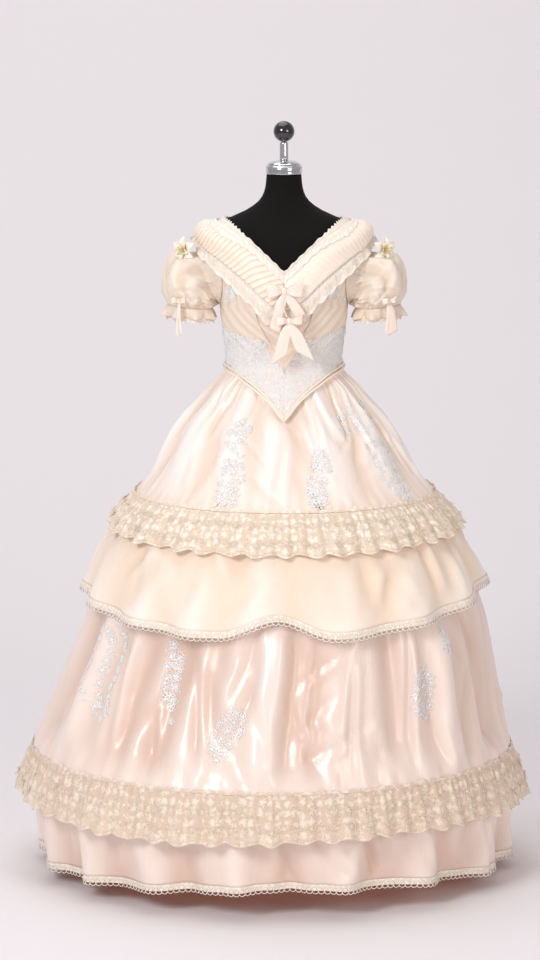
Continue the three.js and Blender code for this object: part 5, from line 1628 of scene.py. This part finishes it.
def placed(points, middle, turn):
    """Turns points round Z and moves them."""
    c, s = math.cos(math.radians(turn)), math.sin(math.radians(turn))
    spin = np.array([[c, s, 0], [-s, c, 0], [0, 0, 1]])
    return points @ spin + np.asarray(middle, float)


# %% Bows
BOWS = [
    # name, node, place, turn, loop length and height, knot, tails: x, length, width, slant
    ("upper_bow", "bow_upper", (0, -147, 1239), 0, 34, 30, (6, 6, 8),
     [(-19, 82, 24, 8), (34, 52, 27, -8)]),
    ("lower_bow", "bow_lower", (10, -153.5, 1178), 0, 25, 19, (5, 5, 7),
     [(-20, 80, 27, -9), (33, 72, 31, 9)]),
    ("cuff_bow_right", "sleeve_bow_right", (217, -76, 1211), 28, 15, 13, (4, 4, 5),
     [(-5, 68, 10, 4), (9, 68, 22, -7)]),
    ("cuff_bow_left", "sleeve_bow_left", (-217, -76, 1211), -28, 15, 13, (4, 4, 5),
     [(-5, 74, 5, 2), (5, 70, 6, 2)]),
]
for name, node, place, turn, length, height, knot, tails in BOWS:
    strips = [placed(points, place, turn) for points in bow_strips(length, height, tails)]
    mesh = join_strips(name, strips, ribbon_satin)
    shape = bmesh.new()
    shape.from_mesh(mesh)
    shape.from_mesh(sheet_mesh("knot", placed(knot_strip(*knot), place, turn), ring=True))
    trim(name, write_mesh(shape, mesh), "satin", ribbon_satin, node=node)
print("bows:", len(BOWS))

# %% Pearl string between the bows
PEARL_PITCH, PEARL_RADIUS = 3.6, 1.7
string = curve_through([(2, -152, 1232), (-4, -153, 1216), (1, -155, 1198), (6, -155, 1186)], 40)
row = march(string, np.tile([0.0, -1.0, 0.0], (len(string), 1)), PEARL_PITCH)
sew_motifs("pearl_string", *row, pearl_ball, PEARL_RADIUS * MM, pearl, "white_lace", None, 0.1, 7)
print("pearls:", len(row[0]))


# %% Silk flowers
def petal_points(turn, length, width, tip_back, tilt):
    """One lily petal: it rises from the throat and its tip curls back."""
    aim = np.array([math.cos(turn), 0, math.sin(turn)])
    side = np.array([-math.sin(turn), 0, math.cos(turn)])
    t, s = np.meshgrid(np.linspace(0, 1, 14), np.linspace(-1, 1, 9), indexing="ij")
    half = width / 2 * np.sin(np.pi * np.clip(t, 0.04, 1) ** 0.75) ** 0.8 * (1 - 0.15 * t) + 0.5
    reach = 2 + (length - 2) * t
    rise = -(9 * np.sin(np.pi * t * 0.6) * tilt) + tip_back * t ** 3 - 2.5 * s * s * np.sin(np.pi * t)
    frill = 0.8 * np.sin(9 * t + 2 * s) * s * s
    flat = reach[..., None] * aim + (s * half)[..., None] * side
    return flat + (rise + frill)[..., None] * np.array([0, 1, 0])


FLOWER_PLACE, FLOWER_TURN = np.array([206.0, -38.0, 1313.0]), 38.0
OUTER_PETALS, INNER_PETALS, STAMENS = 6, 5, 9
STAMEN_RADII = np.array([0.5] * 6 + [1.2, 1.0])
for side, mirror in SIDES:
    place, turned_by = (FLOWER_PLACE * MIRRORED, -FLOWER_TURN) if mirror else (FLOWER_PLACE, FLOWER_TURN)
    strips = []
    for k in range(OUTER_PETALS):
        turn = 0.5 + 2 * math.pi * k / OUTER_PETALS
        strips.append(petal_points(turn, 31 - 3 * (k % 2), 19 - (k % 2), 7, 1.0))
    for k in range(INNER_PETALS):
        strips.append(petal_points(1.0 + 2 * math.pi * k / INNER_PETALS, 18, 11, 1, 1.35))
    strips = [placed(points, place, turned_by) for points in strips]
    mesh = join_strips("silk_flower", strips, petal, wall=0.4)
    trim(f"silk_flower_{side}", mesh, "petal", petal, node=f"sleeve_flower_{side}")
    threads = bmesh.new()
    for k in range(STAMENS):
        turn = 2 * math.pi * k / STAMENS
        tip = np.array([7 * math.cos(turn), -19 - 3 * (k % 3), 7 * math.sin(turn)])
        line = curve_through([(0, -2, 0), tuple(tip * 0.5 + np.array([0, -2, 0])), tuple(tip)], 8)
        threads.from_mesh(tube_mesh("thread", placed(line, place, turned_by), STAMEN_RADII, 5))
    trim(f"stamens_{side}", write_mesh(threads, bpy.data.meshes.new("stamens")), "petal", stamen)
print("flowers ready")

# %% [markdown]
# ## Beaded lace on the bodice and skirt
# Appliques are cut-out lace flowers and leaves, sewn flat and then beaded. They follow whatever fold they lie
# on. So each flower is drawn flat, every one of its points is cast inwards on to the cloth, towards the
# middle of the gown, and it is lifted off by its own relief. Beads are then scattered over it by a tree.


# %% Casting flat shapes on to cloth
def round_the_gown(target, x, z):
    """Casts inwards, round a spray whose middle is seen at (x, z) from the front.

    Returns the cast of a point (way round, height), and the way round of a point seen at an x and a height.
    """
    def inwards(angle, height):
        out = Vector((math.sin(angle), -math.cos(angle), 0))
        hit, place, normal, _ = target.ray_cast(2 * out + Vector((0, 0, height * MM)), -out)
        if not hit:
            _, place, normal, _ = target.closest_point_on_mesh(0.2 * out + Vector((0, 0, height * MM)))
        return place, normal if normal.dot(out) > 0 else -normal

    _, middle, _, _ = target.ray_cast(Vector((x * MM, -2.0, z * MM)), Vector((0, 1, 0)))
    radius = math.hypot(middle.x, middle.y) / MM
    turned = math.atan2(middle.x, -middle.y)

    def cast(way, height, lift):
        place, normal = inwards(way / radius, height)
        return place + normal * lift * MM

    def way_to(seen_x, height):
        place, _ = inwards(turned, height)
        there = math.hypot(place.x, place.y) / MM
        return radius * math.asin(max(-0.96, min(0.96, seen_x / there)))
    return cast, way_to


BODICE_RADIUS = 112.0


def round_the_bodice(target):
    """Casts inwards: a point is given by its way round the waist and its height."""
    def cast(way, z, lift):
        outside = Vector(section(bodice_rows, math.degrees(way / BODICE_RADIUS), z, 9.0) * MM)
        _, place, normal, _ = target.closest_point_on_mesh(outside)
        return place + normal * lift * MM
    return cast


# %% Petals and leaves cast on cloth
def leaf_outline(length, width):
    """A pointed leaf: its rim and a raised midrib."""
    rim = [(0, 0), (0.22, 0.42), (0.5, 0.5), (0.78, 0.34), (1, 0), (0.78, -0.34), (0.5, -0.5), (0.22, -0.42)]
    return [(a * length, b * width) for a, b in rim], (0.52 * length, 0.0)


def cast_fan(shape, cast, middle, turn, outline, heart, base, relief):
    """One petal or leaf, drawn flat at a turn round a middle and cast on to the cloth."""
    c, s = math.cos(turn), math.sin(turn)

    def put(point, lift):
        x = middle[0] + point[0] * c - point[1] * s
        z = middle[1] + point[0] * s + point[1] * c
        return shape.verts.new(cast(x, z, lift))

    rim = [put(point, base) for point in outline]
    top = put(heart, base + relief)
    for j in range(len(rim)):
        face = shape.faces.new((rim[j], rim[(j + 1) % len(rim)], top))
        face.smooth = True


def cast_loop(shape, cast, middle, turn, outline, heart, base, relief):
    """A petal worked as a cord round an open middle."""
    c, s = math.cos(turn), math.sin(turn)
    rings = []
    for part, lift in ((1.0, 0.0), (0.8, relief), (0.56, 0.0)):
        ring = []
        for a, b in outline:
            a, b = mix(heart[0], a, part), mix(heart[1], b, part)
            place = cast(middle[0] + a * c - b * s, middle[1] + a * s + b * c, base + lift)
            ring.append(shape.verts.new(place))
        rings.append(ring)
    for one, two in ((rings[0], rings[1]), (rings[1], rings[2])):
        for j in range(len(outline)):
            k = (j + 1) % len(outline)
            face = shape.faces.new((one[j], one[k], two[k], two[j]))
            face.smooth = True


PETALS = 5


def cast_flower(shape, cast, middle, size, turn, base=0.9):
    for k in range(PETALS):
        outline, heart = leaf_outline(size * 0.56, size * 0.44)
        cast_loop(shape, cast, middle, turn + 2 * math.pi * k / PETALS, outline, heart, base, 1.4)
    outline, heart = leaf_outline(size * 0.3, size * 0.28)
    start = (middle[0] - 0.15 * size * math.cos(turn), middle[1] - 0.15 * size * math.sin(turn))
    cast_fan(shape, cast, start, turn, outline, heart, base + 1.0, 0.6)


# %% A beaded spray
FLOWER_STEP, NARROW_SPRAY = 11.5, 22


def applique_mesh(name, target, x, z, height, width, tilt, seed):
    """A spray of flowers down a curved stem, with leaves on both sides."""
    dice = np.random.default_rng(seed)
    shape = bmesh.new()
    cast, way_to = round_the_gown(target, x, z)
    lean = math.radians(tilt)
    steps = max(int(height / FLOWER_STEP), 2)
    for i in range(steps + 1):
        t = i / steps
        up = (0.5 - t) * height * 0.9
        full = math.sin(math.pi * (0.12 + 0.8 * t)) ** 0.7
        for lane in (-1, 0, 1):
            if lane and full * width < NARROW_SPRAY:
                continue
            across = lane * width * 0.3 * full + dice.uniform(-2, 2) + 0.08 * width * math.sin(7 * t)
            shift = dice.uniform(-4, 4) + (7 if lane else 0)
            px = x + across * math.cos(lean) + (up + shift) * math.sin(lean)
            pz = z - across * math.sin(lean) + (up + shift) * math.cos(lean)
            px = way_to(px, pz)
            if (i + lane) % 2 == 0:
                cast_flower(shape, cast, (px, pz), dice.uniform(15, 20), dice.uniform(0, 6.3))
            else:
                for side in (-1, 1):
                    outline, heart = leaf_outline(dice.uniform(11, 16), dice.uniform(4.5, 6))
                    turn = math.pi / 2 - lean + side * dice.uniform(0.5, 1.2) + (math.pi if lane < 0 else 0)
                    cast_loop(shape, cast, (px, pz), turn, outline, heart, 0.8, 1.2)
    mesh = write_mesh(shape, bpy.data.meshes.new(name), outwards=True)
    facing_back = sum(1 for p in mesh.polygons if p.normal.y > 0)
    if facing_back > len(mesh.polygons) / 2:
        mesh.flip_normals()
    return mesh


SEED_BEAD = 0.95


def sew_applique(name, target, node, distance, x, z, height, width, tilt, seed):
    """A spray on a panel, with beads a distance apart."""
    mesh = applique_mesh(name, target, x, z, height, width, tilt, seed)
    mesh.materials.append(applique_thread)
    trim(name, mesh, "white_lace", None, node=node, on=target)
    sew_beads(f"{name}_beads", mesh, SEED_BEAD, distance, seed, target)


# %% Sprays on both skirts
# middle x, height of the middle, height, width, tilt
OVERSKIRT_SPRAYS = [
    (-96, 938, 62, 34, 24), (-113, 842, 108, 50, 12), (70, 851, 116, 46, -3), (152, 962, 58, 62, -50),
    (222, 862, 150, 44, -33),
]
UNDERSKIRT_SPRAYS = [
    (-368, 462, 190, 76, 9), (-226, 460, 178, 30, 3), (-118, 372, 116, 70, 24), (282, 428, 108, 58, -8),
]
SMALL_SPRAY = (334, 526, 66, 24, -28)
SKIRT_SPRAYS = [
    # skirt, tier, beads' distance, first seed, sprays with a node, sprays with none
    ("overskirt", "satin_overskirt_front", 4.125, 70, OVERSKIRT_SPRAYS, []),
    ("underskirt", "pink_satin_skirt_front", 4.25, 80, UNDERSKIRT_SPRAYS, [SMALL_SPRAY]),
]
for skirt, tier, distance, seed, sprays, more in SKIRT_SPRAYS:
    for i, spray in enumerate([*sprays, *more]):
        node = f"spray_{skirt}_{i + 1}" if i < len(sprays) else None
        sew_applique(f"{skirt}_spray_{i + 1}", tiers[tier], node, distance, *spray, seed + i)
    print(skirt, "sprays:", len(sprays) + len(more))

# %% Beaded lace over the waist
# angle from the middle, height of the lace's upper edge
basque_lace_top = [(0, 1064), (8, 1086), (24, 1130), (46, 1138), (70, 1148), (90, 1151)]


def basque_part(way, part):
    """Height of a point of the waist lace, from its upper edge at part 0 to the piping at part 1."""
    angle = math.degrees(abs(way) / BODICE_RADIUS)
    top = float(read(basque_lace_top, angle)) + 2.2 * math.sin(way * 0.42) + 1.5 * math.sin(way * 1.1)
    low = float(read(basque_rows, angle)) + 5.6
    return mix(top, low, part), top - low


def basque_lace(side, flip):
    """A net ground on the bodice, with flowers, leaves and beads all over it."""
    target = side_fronts[side]
    cast = round_the_bodice(target)
    dice = np.random.default_rng(91 if flip > 0 else 92)
    columns, rows = 64, 26
    reach = math.radians(88) * BODICE_RADIUS
    points = np.zeros((rows, columns, 3))
    for c, way in enumerate(np.linspace(-0.3 if flip > 0 else 0.0, reach, columns)):
        for r, part in enumerate(np.linspace(0, 1, rows)):
            points[r, c] = cast(way * flip, basque_part(way, part)[0], 0.7) / MM
    if flip < 0:
        points = points * MIRRORED
    band = cloth(f"beaded_basque_lace_{side}", points, f"bodice_basque_lace_{side}", "white_lace",
                 beaded_lace, "stretched", [target.name], wall=0, mirror=flip < 0)
    shape = bmesh.new()
    for row, part in enumerate(np.linspace(0.06, 0.94, 8)):
        for column, way in enumerate(np.arange(4 + 5 * (row % 2), reach - 4, 11.0)):
            z, deep = basque_part(way, part)
            if deep < 18:
                continue
            middle = ((way + dice.uniform(-2, 2)) * flip, z + dice.uniform(-2, 2))
            if (row + column) % 2:
                cast_flower(shape, cast, middle, dice.uniform(12, 16), dice.uniform(0, 6.3), base=1.1)
            else:
                for _ in range(3):
                    outline, heart = leaf_outline(dice.uniform(8, 12), dice.uniform(3.5, 5))
                    cast_loop(shape, cast, middle, dice.uniform(0, 6.3), outline, heart, 1.0, 1.0)
    mesh = write_mesh(shape, bpy.data.meshes.new("basque flowers"))
    trim(f"basque_lace_flowers_{side}", mesh, "white_lace", applique_thread, on=band)
    sew_beads(f"basque_lace_beads_{side}", band.data, 1.05, 4.6, 93, band)
    print(band.name, len(mesh.polygons), "faces of flowers")


BOTH_WAYS = (("right", 1), ("left", -1))
for side, flip in BOTH_WAYS:
    basque_lace(side, flip)
for side, flip in BOTH_WAYS:
    sew_applique(f"bust_applique_{side}", side_fronts[side], f"bodice_bust_applique_{side}", 3.5,
                 103 * flip, 1230, 56, 34, -38 * flip, 95 + flip)
print("bodice lace ready")

# %% [markdown]
# ## The dress form
# The form is a jersey-covered torso on a pole, with a chromed cap at the neck and a black ball on top. It is
# turned, so a profile spun round the axis makes each metal part, with small rounded edges that catch the
# light. The torso is read from the same tables as the bodice, drawn in by the cloth's clearance.


# %% Torso
TORSO_COLUMNS, TORSO_ROWS = 96, 72


def torso_points():
    rows = hip_rows + [row for row in bodice_rows if row[0] > WAIST]
    angles = np.linspace(0, 360, TORSO_COLUMNS + 1)[:-1]
    angle, z = np.meshgrid(angles, np.linspace(rows[-1][0], rows[0][0], TORSO_ROWS))
    points = section(rows, angle, z)
    normal = grid_normals(points, ring=True)
    normal[0, :, 2] = 0
    inset = mix(4.2, 6.5, smooth(z, 1080, 1110)) * smooth(z, 1040, 1075)
    return points - normal * inset[..., None]


def closed_ring_mesh(name, points):
    """A grid of rings closed by a fan at each end."""
    mesh = sheet_mesh(name, points, ring=True)
    shape = bmesh.new()
    shape.from_mesh(mesh)
    points_made = list(shape.verts)
    columns = points.shape[1]
    for rim in (points_made[:columns], points_made[-columns:][::-1]):
        middle = shape.verts.new(sum((v.co for v in rim), Vector()) / columns)
        for c in range(columns):
            shape.faces.new((rim[c], rim[(c + 1) % columns], middle))
    return write_mesh(shape, mesh, outwards=True)


trim("jersey_torso", closed_ring_mesh("torso", torso_points()), "jersey", jersey, node="form_torso")


# %% Turned metal and lacquered parts
TURNED_SIDES, RIM_STEPS = 72, 5


def turned(profile):
    """Rings of a turned part, from its top to its foot."""
    turn = 2 * np.pi * np.arange(TURNED_SIDES) / TURNED_SIDES
    return np.stack([
        np.stack([r * np.sin(turn), -r * np.cos(turn), np.full(TURNED_SIDES, z)], axis=1) for r, z in profile
    ])


def rounded(radius, low, high, edge):
    """A cylinder's profile with rounded rims, from the top down."""
    turn = np.linspace(0, np.pi / 2, RIM_STEPS)
    top = [(radius - edge + edge * math.sin(a), high - edge + edge * math.cos(a)) for a in turn]
    foot = [(radius - edge + edge * math.cos(a), low + edge - edge * math.sin(a)) for a in turn]
    return [(0.4, high), *top, *foot, (0.4, low)]


cap_profile = [
    (0.4, 1496), (12, 1495.6), (22, 1494), (29, 1491.5), (33.5, 1488.6), (34.6, 1486.5), (34.8, 1484.5),
    (37.2, 1483.9), (38, 1482.8), (38, 1476.0), (37.7, 1470.5), (37.9, 1469.6), (37.4, 1467.8),
    (36.6, 1467.4), (0.4, 1467.3),
]
rod_profile = [
    (0.4, 1532.6), (7.5, 1532.6), (8.6, 1531.8), (8.8, 1530.5), (8.8, 1507), (9.0, 1505.5), (9.0, 1498),
    (8.4, 1496.4), (0.4, 1496.3),
]
ball_turn = np.linspace(0.02, math.pi - 0.02, 40)
BALL_RADIUS, BALL_CENTRE = 22.0, 1554.9
ball_profile = [(BALL_RADIUS * math.sin(a), BALL_CENTRE + BALL_RADIUS * math.cos(a)) for a in ball_turn]
TURNED = [
    # name, node, profile, slot, finish
    ("chrome_neck_cap", "form_neck_cap", cap_profile, "chrome", chrome),
    ("chrome_finial_rod", "form_finial_rod", rod_profile, "chrome", chrome),
    ("lacquered_ball", "form_ball", ball_profile, "black_lacquer", lacquer),
    ("chrome_pole", "form_pole", rounded(15, 14.3, 849.7, 1), "chrome", chrome),
    ("lacquered_base", "form_base", rounded(165, 0, 14, 4), "black_lacquer", lacquer),
]
for name, node, profile, slot, finish in TURNED:
    trim(name, closed_ring_mesh(name, turned(profile)), slot, finish, node=node)
print("turned parts:", len(TURNED))

# %% [markdown]
# ## Finishing
# The panels are gone through with the flat size that each was cut to and the trims sewn on it, but nothing
# is made of them here. The pattern pieces are removed and the triangles counted.

# %% Finish
for piece, flat, area, held, rests_on, sewn_on in declared:
    area = min(area, flat[0] * flat[1])
    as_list(rests_on)
    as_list(sewn_on)
for pattern in (bead, pearl_ball, eyelet, picot, lace_rose):
    bpy.data.objects.remove(pattern)
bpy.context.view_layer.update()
shown = [o for o in bpy.context.scene.objects if o.type == "MESH" and not o.hide_render]
triangles = {o.name: sum(len(p.vertices) - 2 for p in o.data.polygons) for o in shown}
print("pieces:", len(shown), "triangles:", sum(triangles.values()))
print("largest:", sorted(triangles.items(), key=lambda item: -item[1])[:6])
